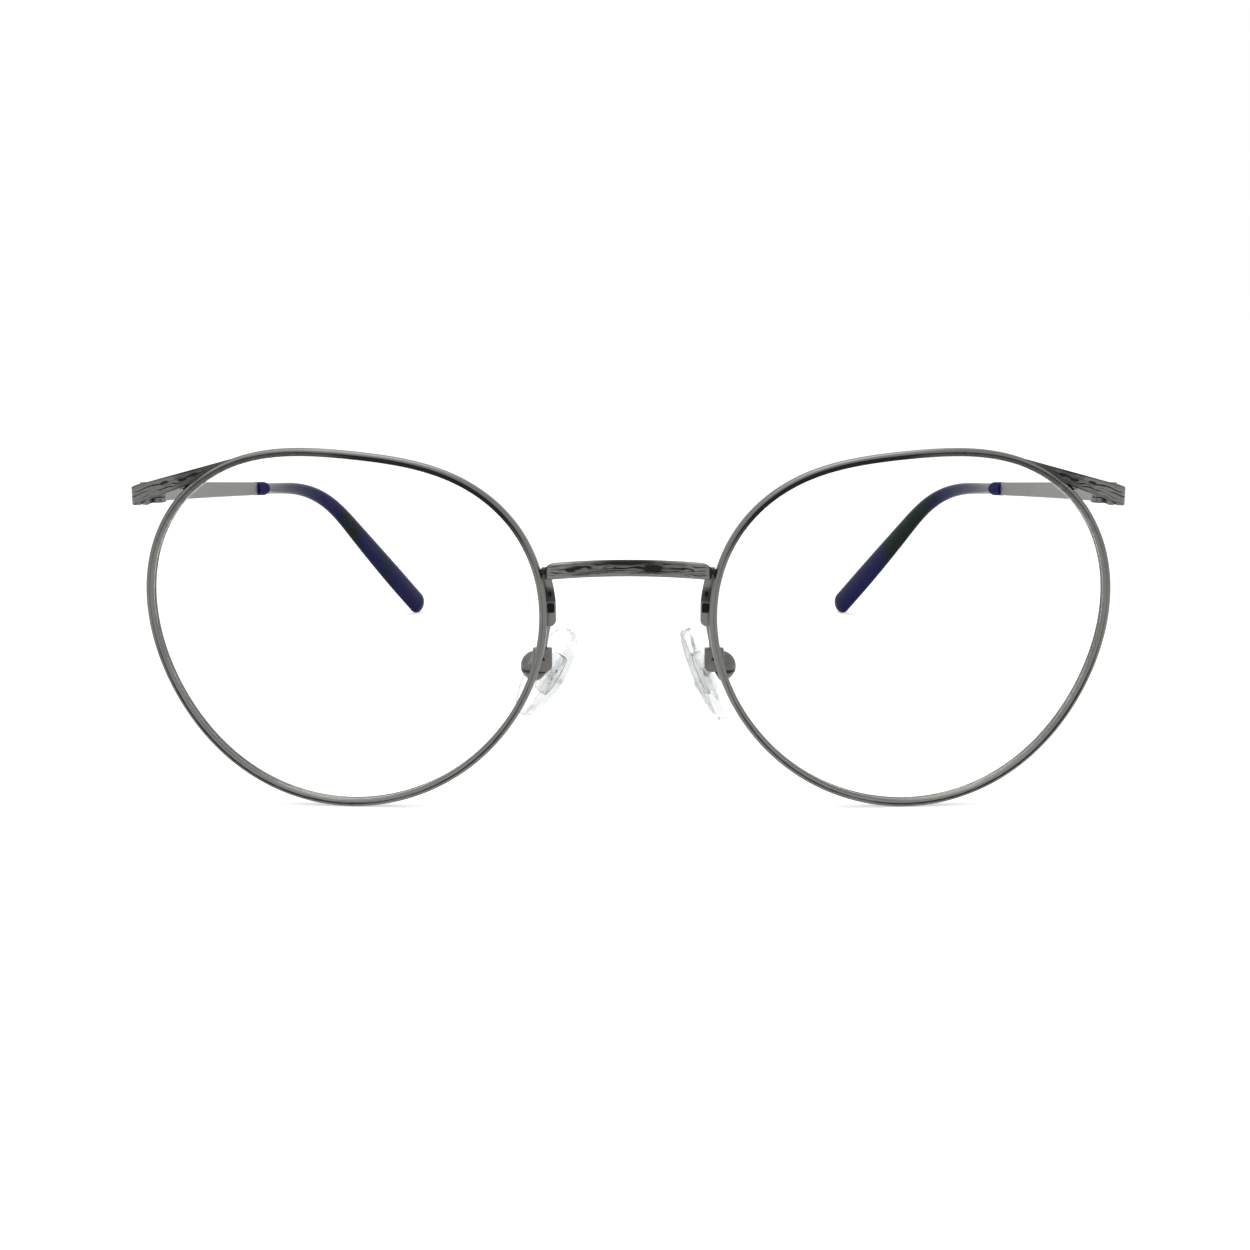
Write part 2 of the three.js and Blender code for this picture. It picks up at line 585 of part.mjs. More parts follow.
function padCupGeometry() {
  const { radius, cavity, mouth } = CUP;
  const arc = (r, from, to, steps) => Array.from({ length: steps + 1 }, (_, i) => {
    const angle = from + ((to - from) * i) / steps;
    return new THREE.Vector2(r * Math.cos(angle), r * Math.sin(angle));
  });
  const outer = arc(radius, -Math.PI / 2, Math.asin(mouth / radius), 8);
  const inner = arc(cavity, Math.asin(mouth / cavity), -Math.PI / 2, 6);
  outer[0].x = 0;
  inner[inner.length - 1].x = 0;
  return new THREE.LatheGeometry([...outer, ...inner], 16).rotateX(Math.PI / 2);
}

// Ball, neck and plate; `grown` makes the hollow in the pad that holds them
function insertSolid(grown) {
  const { corner } = PLATE;
  const x = PLATE.width / 2 + grown;
  const y = PLATE.length / 2 + grown;
  const plate = new THREE.Shape();
  plate.moveTo(x, corner - y);
  plate.lineTo(x, y - corner);
  plate.absarc(x - corner, y - corner, corner, 0, Math.PI / 2);
  plate.lineTo(corner - x, y);
  plate.absarc(corner - x, y - corner, corner, Math.PI / 2, Math.PI);
  plate.lineTo(-x, corner - y);
  plate.absarc(corner - x, corner - y, corner, Math.PI, 1.5 * Math.PI);
  plate.lineTo(x - corner, -y);
  plate.absarc(x - corner, corner - y, corner, 1.5 * Math.PI, 2 * Math.PI);
  const ball = new THREE.SphereGeometry(BALL_RADIUS + grown, 12, 8);
  const neck = upright(NECK_RADIUS + grown, 0, 0, 0, PLATE.from + 0.2, 16);
  const slab = raised(plate, PLATE.from - grown, PLATE.from + PLATE.thick + grown, 4);
  return solid(ball).add(solid(neck)).add(solid(slab));
}

function nosePadGeometry() {
  const { width, length, thick, from, down, back } = PAD;
  const body = new THREE.SphereGeometry(1, 20, 12).rotateX(Math.PI / 2);
  const places = body.attributes.position;
  for (let i = 0; i < places.count; i += 1) {
    const [x, y, z] = [places.getX(i), places.getY(i), places.getZ(i)];
    const flatten = Math.sign(z) * Math.sqrt(Math.abs(z));
    places.setXYZ(i, (x * width) / 2 - back, (y * length) / 2 - down, from + (thick * (1 + flatten)) / 2);
  }
  return geometryOf(solid(body).subtract(insertSolid(GAP)));
}

// ---- Assembly ----
const eyeglasses = new THREE.Group();
eyeglasses.position.y = FRONT_Y;
eyeglasses.add(named('bridge', bridgeGeometry(), gunmetal));

for (const side of SIDES) {
  const part = (name, geometry, material) => named(`${side.name}_${name}`, geometry, material);
  const blockBottom = SPLIT_GAP / 2;
  const half = new THREE.Group();
  half.scale.x = side.mirror;
  half.add(
    lensFrame(
      part('rim', rimGeometry(), gunmetal),
      part('lens', lensGeometry(), clearLens),
    ),
    splitFrame(
      part('upper_closing_block', blockGeometry(blockBottom, blockBottom + BLOCK.height), gunmetal),
      part('lower_closing_block', blockGeometry(-blockBottom - BLOCK.height, -blockBottom), gunmetal),
      part('rim_screw', rimScrewGeometry(), screwMetal),
    ),
    part('end_piece', endPieceGeometry(), gunmetal),
    part('front_hinge_leaf', frontLeafGeometry(), satin),
    part('temple_hinge_leaf', templeLeafGeometry(), satin),
    part('hinge_screw', hingeScrewGeometry(), screwMetal),
    part('temple_arm', templeArmGeometry(), satin),
    part('temple_tip', templeTipGeometry(), acetate),
    part('pad_arm', padArmGeometry(), gunmetal),
    padFrame(
      side,
      part('pad_cup', padCupGeometry(), gunmetal),
      part('pad_insert', geometryOf(insertSolid(0)), hardPlastic),
      part('nose_pad', nosePadGeometry(), silicone),
    ),
  );
  eyeglasses.add(half);
}

export default eyeglasses;
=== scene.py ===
"""Round wire eyeglasses: the fine surfaces, finishes, floor, lights and camera around their frame."""
import json
import math

import bpy
import numpy as np
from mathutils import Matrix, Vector


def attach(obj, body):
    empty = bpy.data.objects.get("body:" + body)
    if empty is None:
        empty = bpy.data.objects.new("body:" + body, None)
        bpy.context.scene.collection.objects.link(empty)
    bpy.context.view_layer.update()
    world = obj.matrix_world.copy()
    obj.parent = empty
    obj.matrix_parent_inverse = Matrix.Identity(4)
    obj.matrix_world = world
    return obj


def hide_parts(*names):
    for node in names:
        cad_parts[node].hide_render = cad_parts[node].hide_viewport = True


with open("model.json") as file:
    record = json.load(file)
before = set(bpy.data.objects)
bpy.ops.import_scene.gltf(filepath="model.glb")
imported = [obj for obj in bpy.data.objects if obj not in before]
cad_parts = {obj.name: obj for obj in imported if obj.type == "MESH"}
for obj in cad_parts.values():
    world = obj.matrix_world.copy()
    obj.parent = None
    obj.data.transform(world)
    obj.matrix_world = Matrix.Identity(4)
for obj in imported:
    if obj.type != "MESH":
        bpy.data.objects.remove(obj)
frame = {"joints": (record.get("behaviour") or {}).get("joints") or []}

bl_info = {
    "name": "Round Wire Eyeglasses",
    "version": (1, 0, 0),
    "blender": (4, 5, 0),
    "location": "View3D > Sidebar > Eyeglasses",
    "description": "Makes the metal, acetate, silicone and lens pieces of a pair of round eyeglasses",
    "category": "Add Mesh",
}

MM = 0.001
ACROSS, FORWARD, UPWARD = np.diag([1.0, -1.0, 1.0])
SIDES = {"left": 1.0, "right": -1.0}
JOINTS = {joint["name"]: joint for joint in frame["joints"]}

# --- Sizes in millimetres. Offsets in y are from the line where the lens planes cross LENS_X
OUTLINE_MEAN = 23.55
OUTLINE_LOBES = ((2, 1.32, 10.0), (3, 0.92, 35.3), (4, 0.22, 45.0))  # count, height, turn in degrees
LENS_X = 36.0
WRAP = math.radians(4)  # how far each lens turns back at its outer side
BASE_RADIUS = 120.0  # of the sphere that the rims and lenses lie on
MEAN_RIM_RADIUS = 24.0
LENS_HALF = 0.65  # half the thickness
LENS_GAP = 0.08
LENS_BEVEL = (0.34, 0.38)  # half width and height of the V edge

RIM_FACE = 1.0  # width seen from the front
RIM_HALF = 0.75  # half the depth
RIM_LINE = 0.46  # where the turned line lies, outwards from the opening
RIM_GROOVE = (0.38, 0.45)  # half width and depth of the lens groove
SPLIT = math.radians(42)  # where the rim is cut, at the closing blocks
SPLIT_GAP = 0.06

BLOCK_OUT = (1.02, 2.23)  # from the lens opening outwards
BLOCK_BACK = (0.5, 2.1)  # behind the lens plane
BLOCK_HEIGHT = 1.27
BLOCK_BORE = 0.33
RIM_SCREW = {"shaft": 0.3, "head": 0.52, "height": 0.32}

HINGE_Y = 5.75  # behind the front line
HINGE = Vector(JOINTS["left_temple_fold"]["pos_m"]) / MM
FRONT_Y = HINGE.y - HINGE_Y
HINGE_HEIGHT = 2.2
KNUCKLE = 0.66  # height of each of the front's knuckles
KNUCKLE_RADIUS = 1.05
HINGE_SCREW = {"shaft": 0.45, "head": 0.8, "height": 0.25}
LEAF_THICK = 0.7

END_CORNER = 62.9
END_NOSE = (46.2, 45.55)  # x and height where the bar leaves the rim
END_CURVE_TO = 50.6
END_TOP, END_RISE = 41.3, 0.275
END_BOTTOM, END_FALL = 38.85, 0.367
END_THICK, END_LEG = 1.0, 1.2  # thickness across the front and on the leg that runs back
END_BEND = 1.3
END_FRONT = -0.55
END_LEG_BACK = 5.6

TEMPLE_START = HINGE + Vector((1.85, 0.1, 0.2))
STRIP_LENGTH = 70.5
STRIP_THICK = 1.0
STRIP_HEIGHT = (2.55, 2.2)  # at the hinge, at the tip
CORE_RADIUS = 0.5
CORE_END = 126.0
TEMPLE_LENGTH = 140.0
TEMPLE_BOW = (6.0, 5.0, 0.111)  # where it bows out, by how many degrees, and their fall per mm
TEMPLE_TURN = 21.3  # how far it turns in behind the ear, in degrees
TEMPLE_TURN_SPAN = (75.0, 99.0)
TEMPLE_SLOPE = math.radians(6.58)
TEMPLE_HOOK = math.radians(42.2)
TEMPLE_HOOK_SPAN = (86.0, 111.0)
TIP_STEP = (76.2, 77.0)  # where the collar steps down to the neck
TIP_GROWTH = (82.0, 132.0)  # where the neck grows to the paddle
TIP_COLLAR, TIP_NECK, TIP_END = 1.15, 0.97, 2.15  # half heights
TIP_THICK = (0.95, 1.05)
TIP_ROUND = 2.2

BRIDGE_HALF = 10.5
BRIDGE_TOP, BRIDGE_HEIGHT, BRIDGE_ARCH = 32.2, 2.05, 0.55
BRIDGE_FRONT, BRIDGE_BOW, BRIDGE_BACK = -3.5, 0.28, -1.1
BRIDGE_THICK, BRIDGE_BEND = 1.0, 1.2
LINK_HEIGHT, LINK_DEPTH, LINK_Z = 0.9, 0.8, 31.0

FOOT = {"front": -0.62, "thick": 0.6, "top": 31.4, "bottom": 23.8, "nose": 9.15, "rim": 10.95}
FOOT_END = 26.4  # height where the slanted edge ends
FOOT_HOLLOW = {"height": 26.2, "half_height": 0.62, "from_nose": 0.62, "half_width": 0.58}
FOOT_SPOT = {"height": 28.0, "half_height": 0.4, "from_nose": 0.75, "half_width": 0.3}
TONGUE = {"x": 11.15, "y": 3.85, "top": 20.1, "bottom": 16.95, "width": 2.5, "thick": 0.9,
          "corner": 0.75}
TONGUE_DOTS = ((0.15, 0.55), (0.15, 1.5))  # distance from the middle line, and below the top
DOT_RADIUS = 0.24
WIRE_RADIUS = 0.5
WIRE_BENDS = ((10.3, -0.32, 25.0), (10.3, 1.0, 24.5), (10.5, 2.7, 23.1), (10.85, 3.6, 21.4),
              (TONGUE["x"], TONGUE["y"], TONGUE["top"] - TONGUE["thick"]))

CUP = {"radius": 2.0, "cavity": 1.08, "mouth": 0.7}
BALL_RADIUS = 1.0
NECK_RADIUS = 0.45
PLATE = {"width": 2.8, "length": 5.6, "thick": 0.6, "from": 2.5}
PAD = {"width": 7.2, "length": 13.1, "thick": 2.9, "from": 1.4, "down": 0.35, "back": 1.4}
PAD_TOP_BACK = 7.0
PAD_ANGLES = {"left": (23.5, 12.0), "right": (31.0, 30.0)}  # slope and splay in degrees


# --- Settings
class EyeglassesSizes(bpy.types.PropertyGroup):
    """Fine sizes that the frame leaves open"""

    engraving: bpy.props.FloatProperty(
        name="Engraving depth", description="Depth of the grain cut into the bridge and end pieces",
        default=0.00011, min=0.0, unit="LENGTH")
    edge: bpy.props.FloatProperty(
        name="Edge rounding", description="Radius of the softened edges of the metal bars",
        default=0.00022, min=0.00002, unit="LENGTH")
    slot: bpy.props.FloatProperty(
        name="Screw slot", description="Width of the slots in the screw heads",
        default=0.0002, min=0.00005, unit="LENGTH")
    fineness: bpy.props.FloatProperty(
        name="Fineness", description="Steps along each piece, as a share of the normal number",
        default=1.0, min=0.25, max=2.0, subtype="FACTOR")


class EyeglassesFinishes(bpy.types.PropertyGroup):
    """Colours of the metals and plastics, and the lights"""

    gunmetal: bpy.props.FloatVectorProperty(
        name="Gunmetal", description="Plating of the rims, bridge, end pieces and pad arms",
        default=(0.172, 0.169, 0.16), subtype="COLOR", min=0.0, max=1.0)
    # Black of the oxide in the cuts, also used for the painted shade and painted dark reflections
    patina: bpy.props.FloatVectorProperty(
        name="Patina", description="Black oxide left in the cuts of the gunmetal",
        default=(0.004, 0.004, 0.0045), subtype="COLOR", min=0.0, max=1.0)
    satin: bpy.props.FloatVectorProperty(
        name="Satin metal", description="Temple strips and hinge leaves",
        default=(0.2, 0.198, 0.19), subtype="COLOR", min=0.0, max=1.0)
    navy: bpy.props.FloatVectorProperty(
        name="Acetate navy", description="Main colour of the temple tips",
        default=(0.0035, 0.0035, 0.05), subtype="COLOR", min=0.0, max=1.0)
    # painted grey sheen along the neck of the temple tips
    slate: bpy.props.FloatVectorProperty(
        name="Acetate slate", description="Thin neck of the temple tips",
        default=(0.085, 0.095, 0.12), subtype="COLOR", min=0.0, max=1.0)
    bottle: bpy.props.FloatVectorProperty(
        name="Acetate green", description="Bottle green clouds in the temple tips",
        default=(0.002, 0.011, 0.008), subtype="COLOR", min=0.0, max=1.0)
    silicone: bpy.props.FloatVectorProperty(
        name="Silicone", description="Tint of the nose pads",
        default=(0.93, 0.95, 0.945), subtype="COLOR", min=0.0, max=1.0)
    lens: bpy.props.FloatVectorProperty(
        name="Lens", description="Tint of the lenses",
        default=(0.985, 0.995, 0.99), subtype="COLOR", min=0.0, max=1.0)
    sky: bpy.props.FloatProperty(
        name="Surround light", description="How brightly the surround lights the object",
        default=0.42, min=0.0)


def sizes():
    """The size settings of the scene"""
    return bpy.context.scene.eyeglasses_sizes


def finishes():
    """The colour settings of the scene"""
    return bpy.context.scene.eyeglasses_finishes


def steps(count):
    """A number of steps, scaled by the fineness setting"""
    return max(int(round(count * sizes().fineness)), 3)


# --- Node maths
class Value:
    """A number socket that adds its Math nodes when it is used in a sum"""

    def __init__(self, finish, socket):
        self.finish = finish
        self.socket = socket

    def _math(self, operation, first, second):
        return self.finish.node("ShaderNodeMath", {"operation": operation}, {0: first, 1: second})

    def __add__(self, other):
        return self._math("ADD", self, other)

    __radd__ = __add__

    def __mul__(self, other):
        return self._math("MULTIPLY", self, other)

    __rmul__ = __mul__

    def __sub__(self, other):
        return self._math("SUBTRACT", self, other)

    def __rsub__(self, other):
        return self._math("SUBTRACT", other, self)


class Finish:
    """A material or world in the making: its tree, and the one way to add a node to it"""

    def __init__(self, owner):
        self.owner = owner
        owner.use_nodes = True
        self.tree = owner.node_tree
        self.tree.nodes.clear()

    def node(self, kind, settings=None, inputs=None, output=0):
        """Adds a node, gives it its settings, then its values and links, and returns one output"""
        made = self.tree.nodes.new(kind)
        for key, setting in (settings or {}).items():
            if key == "stops":
                self._set_stops(made.color_ramp, setting)
            else:
                setattr(made, key, setting)
        for key, given in (inputs or {}).items():
            if isinstance(given, Value):
                self.tree.links.new(given.socket, made.inputs[key])
            else:
                made.inputs[key].default_value = given
        return Value(self, made.outputs[output])

    @staticmethod
    def _set_stops(ramp, stops):
        while len(ramp.elements) < len(stops):
            ramp.elements.new(0.5)
        for element, (place, level) in zip(ramp.elements, stops):
            element.position = place
            element.color = (level, level, level, 1.0)

    def object_place(self):
        """Object coordinates, in metres"""
        return self.node("ShaderNodeTexCoord", output=3)

    def lay(self):
        """The place in the piece as if it lay straight, in millimetres"""
        return self.node("ShaderNodeAttribute", {"attribute_name": "lay"}, output=1)

    def along(self):
        """The length along the piece as if it lay straight, in millimetres"""
        return self.node("ShaderNodeSeparateXYZ", inputs={0: self.lay()}, output=1)

    def mark(self):
        """How much a point is darkened or clouded, from 0 to 1: oxide in cuts, green clouds, and
        painted shade and painted dark reflections
        """
        return self.node("ShaderNodeAttribute", {"attribute_name": "mark"}, output=2)

    def stretched(self, place, scale):
        """A place with each of its axes scaled"""
        return self.node("ShaderNodeMapping", inputs={"Vector": place, "Scale": scale})

    def noise(self, place, scale, detail=3.0, roughness=0.55):
        """Noise of about 0.5, at a place"""
        return self.node("ShaderNodeTexNoise", inputs={
            "Vector": place, "Scale": scale, "Detail": detail, "Roughness": roughness})

    def ramp(self, value, *stops):
        """A value sent through a ramp of (place, level) stops"""
        return self.node("ShaderNodeValToRGB", {"stops": stops}, {0: value})

    def mix_colour(self, share, first, second):
        """The first colour, turning into the second with share"""
        return self.node("ShaderNodeMix", {"data_type": "RGBA"}, {0: share, 6: first, 7: second}, 2)

    def bump(self, height, strength, distance):
        """A normal that follows a height"""
        return self.node("ShaderNodeBump", inputs={
            "Height": height, "Strength": strength, "Distance": distance})

    def principled(self, **inputs):
        """A Principled shader; an underscore in a name stands for a space"""
        return self.node("ShaderNodeBsdfPrincipled", inputs={
            key.replace("_", " "): given for key, given in inputs.items()})

    def surface(self, shader):
        """Ends the tree with a shader"""
        kind = "ShaderNodeOutputWorld" if isinstance(self.owner, bpy.types.World) else \
            "ShaderNodeOutputMaterial"
        end = self.tree.nodes.new(kind)
        self.tree.links.new(shader.socket, end.inputs["Surface"])
        return self.owner


def tint(name, share=1.0):
    """A colour of the settings, scaled, with a full alpha"""
    return (*(share * level for level in getattr(finishes(), name)), 1.0)


MADE = {}


def material(build):
    """The material that a function builds, made once and named after the function"""
    if build not in MADE:
        MADE[build] = build(Finish(bpy.data.materials.new(build.__name__)))
    return MADE[build]


def gunmetal(finish):
    """Grey plating, polished, darkened unevenly, with black oxide in the cuts and painted shade and
    painted dark reflections where the mark is high
    """
    place = finish.object_place()
    cloud = finish.noise(place, 160.0, 4.0)
    fine = finish.noise(finish.stretched(finish.lay(), (6.0, 0.9, 6.0)), 1.0, 5.0, 0.7)
    wear = finish.noise(place, 900.0)
    # black where the mark is high: oxide in the cuts, and painted shade and painted dark reflections
    oxide_and_shade = finish.ramp(finish.mark() + (wear - 0.5) * 0.35, (0.12, 0.0), (0.85, 1.0))
    uneven = finish.ramp(cloud, (0.3, 0.0), (0.75, 1.0))
    base = finish.mix_colour(uneven * 0.45, tint("gunmetal"), tint("gunmetal", 0.72))
    return finish.surface(finish.principled(
        Base_Color=finish.mix_colour(oxide_and_shade * 0.97, base, tint("patina")), Metallic=1.0 - oxide_and_shade,
        Roughness=0.17 + 0.16 * fine + 0.12 * cloud + 0.22 * oxide_and_shade, Specular_IOR_Level=0.15,
        Normal=finish.bump(fine, 0.12, 0.00002)))


def satin(finish):
    """Satin grey metal with fine streaks that run along the piece"""
    streak = finish.noise(finish.stretched(finish.lay(), (14.0, 0.35, 14.0)), 1.0, 6.0, 0.75)
    cloud = finish.noise(finish.object_place(), 70.0)
    colour = finish.mix_colour(0.55 * streak + 0.35 * cloud, tint("satin"), tint("satin", 0.8))
    return finish.surface(finish.principled(
        Base_Color=colour, Metallic=1.0, Roughness=0.34 + 0.14 * streak + 0.06 * cloud,
        Normal=finish.bump(streak, 0.1, 0.00002)))


def screw_steel(finish):
    """Turned steel, nearly black in the slot"""
    wear = finish.noise(finish.object_place(), 1500.0, 4.0)
    colour = finish.mix_colour(finish.mark(), (0.34, 0.33, 0.32, 1.0), (0.03, 0.03, 0.03, 1.0))
    return finish.surface(finish.principled(
        Base_Color=colour, Metallic=1.0, Roughness=0.22 + 0.2 * wear))


def acetate(finish):
    """Dark navy acetate, with a painted grey sheen along its thin neck, clouded with bottle green,
    polished
    """
    lay = finish.lay()
    swirl = finish.noise(finish.stretched(lay, (0.5, 0.16, 0.5)), 1.0, 4.0, 0.6)
    green = finish.ramp(finish.mark() + (swirl - 0.5) * 0.9, (0.25, 0.0), (0.8, 1.0))
    deep = finish.noise(finish.stretched(lay, (0.9, 0.3, 0.9)), 1.0)
    blue = finish.mix_colour(deep, tint("navy"), tint("navy", 1.7))
    clouded = finish.mix_colour(green, blue, tint("bottle"))
    decimetres = finish.along() * 0.01
    # painted sheen: grey on the neck, fading out towards the paddle
    neck = finish.ramp(decimetres, (0.769, 0.0), (0.773, 1.0), (0.84, 0.85), (0.99, 0.0))
    collar = finish.ramp(decimetres, (0.765, 1.0), (0.772, 0.0))
    return finish.surface(finish.principled(
        Base_Color=finish.mix_colour(neck, clouded, tint("slate")),
        Roughness=0.18 + 0.08 * deep + 0.6 * collar, Specular_IOR_Level=0.1,
        Normal=finish.bump(deep, 0.05, 0.0001)))


def clear_silicone(finish):
    """Clear soft silicone, faintly hazy, with a slightly uneven surface"""
    place = finish.object_place()
    haze = finish.noise(place, 220.0, 4.0)
    clear = finish.principled(
        Base_Color=tint("silicone"), Roughness=0.08 + 0.16 * haze, IOR=1.33,
        Transmission_Weight=0.93, Normal=finish.bump(finish.noise(place, 420.0), 0.35, 0.00012))
    return finish.surface(lamps_pass(finish, clear, (0.93, 0.95, 0.95, 1.0)))


def insert_plastic(finish):
    """Hard plastic core, nearly clear"""
    haze = finish.noise(finish.object_place(), 600.0, 4.0)
    colour = finish.mix_colour(haze, (0.86, 0.87, 0.87, 1.0), (0.7, 0.71, 0.71, 1.0))
    clear = finish.principled(
        Base_Color=colour, Roughness=0.06 + 0.1 * haze, IOR=1.45, Transmission_Weight=1.0)
    return finish.surface(lamps_pass(finish, clear, (0.9, 0.91, 0.91, 1.0)))


def clear_lens(finish):
    """Clear lens with an anti-reflective coating: it bends no light, and turns glossy only at a
    slant"""
    slant = finish.node("ShaderNodeLayerWeight", inputs={"Blend": 0.5}, output="Facing")
    gloss = finish.ramp(slant, (0.6, 0.0), (0.97, 1.0))
    clear = finish.principled(
        Base_Color=tint("lens"), Roughness=0.0, IOR=1.0, Transmission_Weight=1.0,
        Coat_Weight=gloss, Coat_Roughness=0.02)
    return finish.surface(lamps_pass(finish, clear, (1.0, 1.0, 1.0, 1.0)))


def lamps_pass(finish, shader, tint):
    """A clear shader that lets rays on their way to a lamp through, tinted"""
    through = finish.node("ShaderNodeBsdfTransparent", inputs={"Color": tint})
    shadow = finish.node("ShaderNodeLightPath", output="Is Shadow Ray")
    return finish.node("ShaderNodeMixShader", inputs={0: shadow, 1: shader, 2: through})


# --- Surfaces
class Skin:
    """Closed surfaces of one piece: its points, their straight places and marks, and its faces"""

    def __init__(self, side=""):
        self.side = side
        self.points, self.lays, self.marks, self.faces = [], [], [], []
        self.count = 0

    def add(self, grid, lay=None, mark=None, start=None, end=None, looped=False, mirror=None):
        """Adds rings of points, grid[ring, point], joined ring to ring.

        Each ring is closed. A start or end point closes that side with a fan, otherwise it is a flat
        face; looped joins the last ring to the first. The right side is the left one's mirror
        image. Where the signed volume is negative the faces are turned round, to point outwards.
        """
        rings, around = grid.shape[:2]
        lay = grid if lay is None else lay
        mark = np.zeros((rings, around)) if mark is None else np.broadcast_to(mark, (rings, around))
        points = [grid.reshape(-1, 3)]
        lays = [lay.reshape(-1, 3)]
        marks = [mark.reshape(-1)]
        index = np.arange(rings * around).reshape(rings, around)
        upper = np.roll(index, -1, axis=0) if looped else index[1:]
        lower = index if looped else index[:-1]
        quads = np.stack(
            [lower, np.roll(lower, -1, axis=1), np.roll(upper, -1, axis=1), upper], axis=-1)
        faces = quads.reshape(-1, 4).tolist()
        extra = rings * around
        for pole, ring, step in ((start, index[0], -1), (end, index[-1], 1)):
            if looped:
                continue
            if pole is None:
                faces.append(ring[::step].tolist())
                continue
            fan = np.stack([ring, np.roll(ring, -1), np.full(around, extra)], axis=-1)
            faces += fan[:, ::step].tolist()
            points.append(np.asarray(pole, float).reshape(1, 3))
            nearest = 0 if step < 0 else rings - 1
            lays.append(lay[nearest].mean(axis=0, keepdims=True))
            marks.append(mark[nearest].mean(keepdims=True))
            extra += 1
        placed = np.concatenate(points) * (mirror or SIDES.get(self.side, 1.0), 1.0, 1.0)
        if signed_volume(placed, faces) < 0:
            faces = [face[::-1] for face in faces]
        self.faces += [[corner + self.count for corner in face] for face in faces]
        self.points.append(placed)
        self.lays.append(np.concatenate(lays))
        self.marks.append(np.concatenate(marks))
        self.count += len(placed)
        return self

    def piece(self, name, build, body, *nodes):
        """Makes the mesh and its object, in metres, and ties it to the frame. SIDE in a name stands
        for left or right"""
        name, body, *nodes = (label.replace("SIDE", self.side) for label in (name, body, *nodes))
        mesh = bpy.data.meshes.new(name)
        mesh.from_pydata((np.concatenate(self.points) * MM).tolist(), [], self.faces)
        for label, kind, field, stored in (
                ("lay", "FLOAT_VECTOR", "vector", self.lays), ("mark", "FLOAT", "value", self.marks)):
            layer = mesh.attributes.new(label, kind, "POINT")
            layer.data.foreach_set(field, np.concatenate(stored).astype(np.float32).ravel())
        mesh.polygons.foreach_set("use_smooth", np.ones(len(mesh.polygons), bool))
        mesh.set_sharp_from_angle(angle=math.radians(42))
        mesh.materials.append(material(build))
        mesh.update()
        made = bpy.data.objects.new(name, mesh)
        bpy.context.scene.collection.objects.link(made)
        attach(made, body)
        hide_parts(*nodes)


def signed_volume(points, faces):
    """The volume that a surface shuts in, from fans of its faces: negative where they point inwards"""
    sizes_of = np.array([len(face) for face in faces])
    total = 0.0
    for size in np.unique(sizes_of):
        corners = points[np.array([face for face in faces if len(face) == size])]
        first = corners[:, :1]
        crossed = np.cross(corners[:, 1:-1] - first, corners[:, 2:] - first)
        total += float((first * crossed).sum())
    return total


def smoothstep(value, low, high):
    """0 below low, 1 above high, and a smooth rise between"""
    share = np.clip((value - low) / (high - low), 0.0, 1.0)
    return share * share * (3.0 - 2.0 * share)


def unit(vectors):
    """Vectors made one long"""
    return vectors / np.linalg.norm(vectors, axis=-1, keepdims=True)


def end_rounding(distance, radius):
    """How far a side draws in near a rounded end, at a distance from that end: a quarter circle"""
    inside = np.clip(radius - distance, 0.0, radius)
    return radius - np.sqrt(radius**2 - inside**2)


def rounded_section(half_across, half_deep, rounding, face=3, back=3, side=1, arc=5):
    """A box section with round corners, for every station.

    Along its front face x falls from one corner to the other, then come the side, the back and the
    other side. A corner point is the corner's centre plus rounding times the cosine and sine of its
    angle. Returns x and y as arrays of stations by points, and each point's place across the front
    face from -1 to 1, or not a number off that face.
    """
    quarter = np.linspace(0.0, np.pi / 2, arc)

    def run(count):
        inner = np.linspace(-1.0, 1.0, count + 2)[1:-1]
        return np.unique(np.concatenate([inner, [-0.97, 0.97]]))[::-1]

    parts = []
    for turn, (sign_x, sign_y), count in (
            (0, (1, 1), face), (1, (-1, 1), side), (2, (-1, -1), back), (3, (1, -1), side)):
        angle = quarter + turn * np.pi / 2
        parts.append((sign_x, sign_y, np.cos(angle), np.sin(angle), np.nan))
        flat = run(count)
        corner = (sign_x, sign_y * flat) if turn % 2 else (sign_x * flat, sign_y)
        ahead = np.round([np.cos(angle[-1]), np.sin(angle[-1])])
        parts.append((*corner, *ahead, np.nan if turn else flat))
    corner_x, corner_y, round_x, round_y, place = np.concatenate(
        [np.stack(np.broadcast_arrays(*part)) for part in parts], axis=1)
    across = np.atleast_1d(half_across)[:, None]
    deep = np.atleast_1d(half_deep)[:, None]
    radius = np.minimum(np.broadcast_to(rounding, across.shape), 0.98 * np.minimum(across, deep))
    x = corner_x * (across - radius) + round_x * radius
    y = corner_y * (deep - radius) + round_y * radius
    return x, y, place


def swept(centres, across, deep, x, y):
    """The middle of each station, plus x along its across direction and y along its deep one. A
    direction may be given once for all stations"""
    across, deep = (np.atleast_2d(direction)[:, None] for direction in (across, deep))
    return centres[:, None] + across * x[..., None] + deep * y[..., None]


def stacked(outline, levels):
    """Rings made from one flat outline: scaled by a share and set at a height, for each level"""
    return np.stack([np.column_stack([outline * share, np.full(len(outline), height)])
                     for share, height in levels])


def squared_ring(half_x, half_y, power, angle):
    """A rounded rectangle: a circle whose cosine and sine are each raised to a power"""
    cos, sin = np.cos(angle), np.sin(angle)
    return np.stack([half_x * np.sign(cos) * np.abs(cos) ** power,
                     half_y * np.sign(sin) * np.abs(sin) ** power], axis=-1)


def turn_of(count):
    """Angles of a full turn"""
    return np.linspace(0.0, 2 * np.pi, count, endpoint=False)


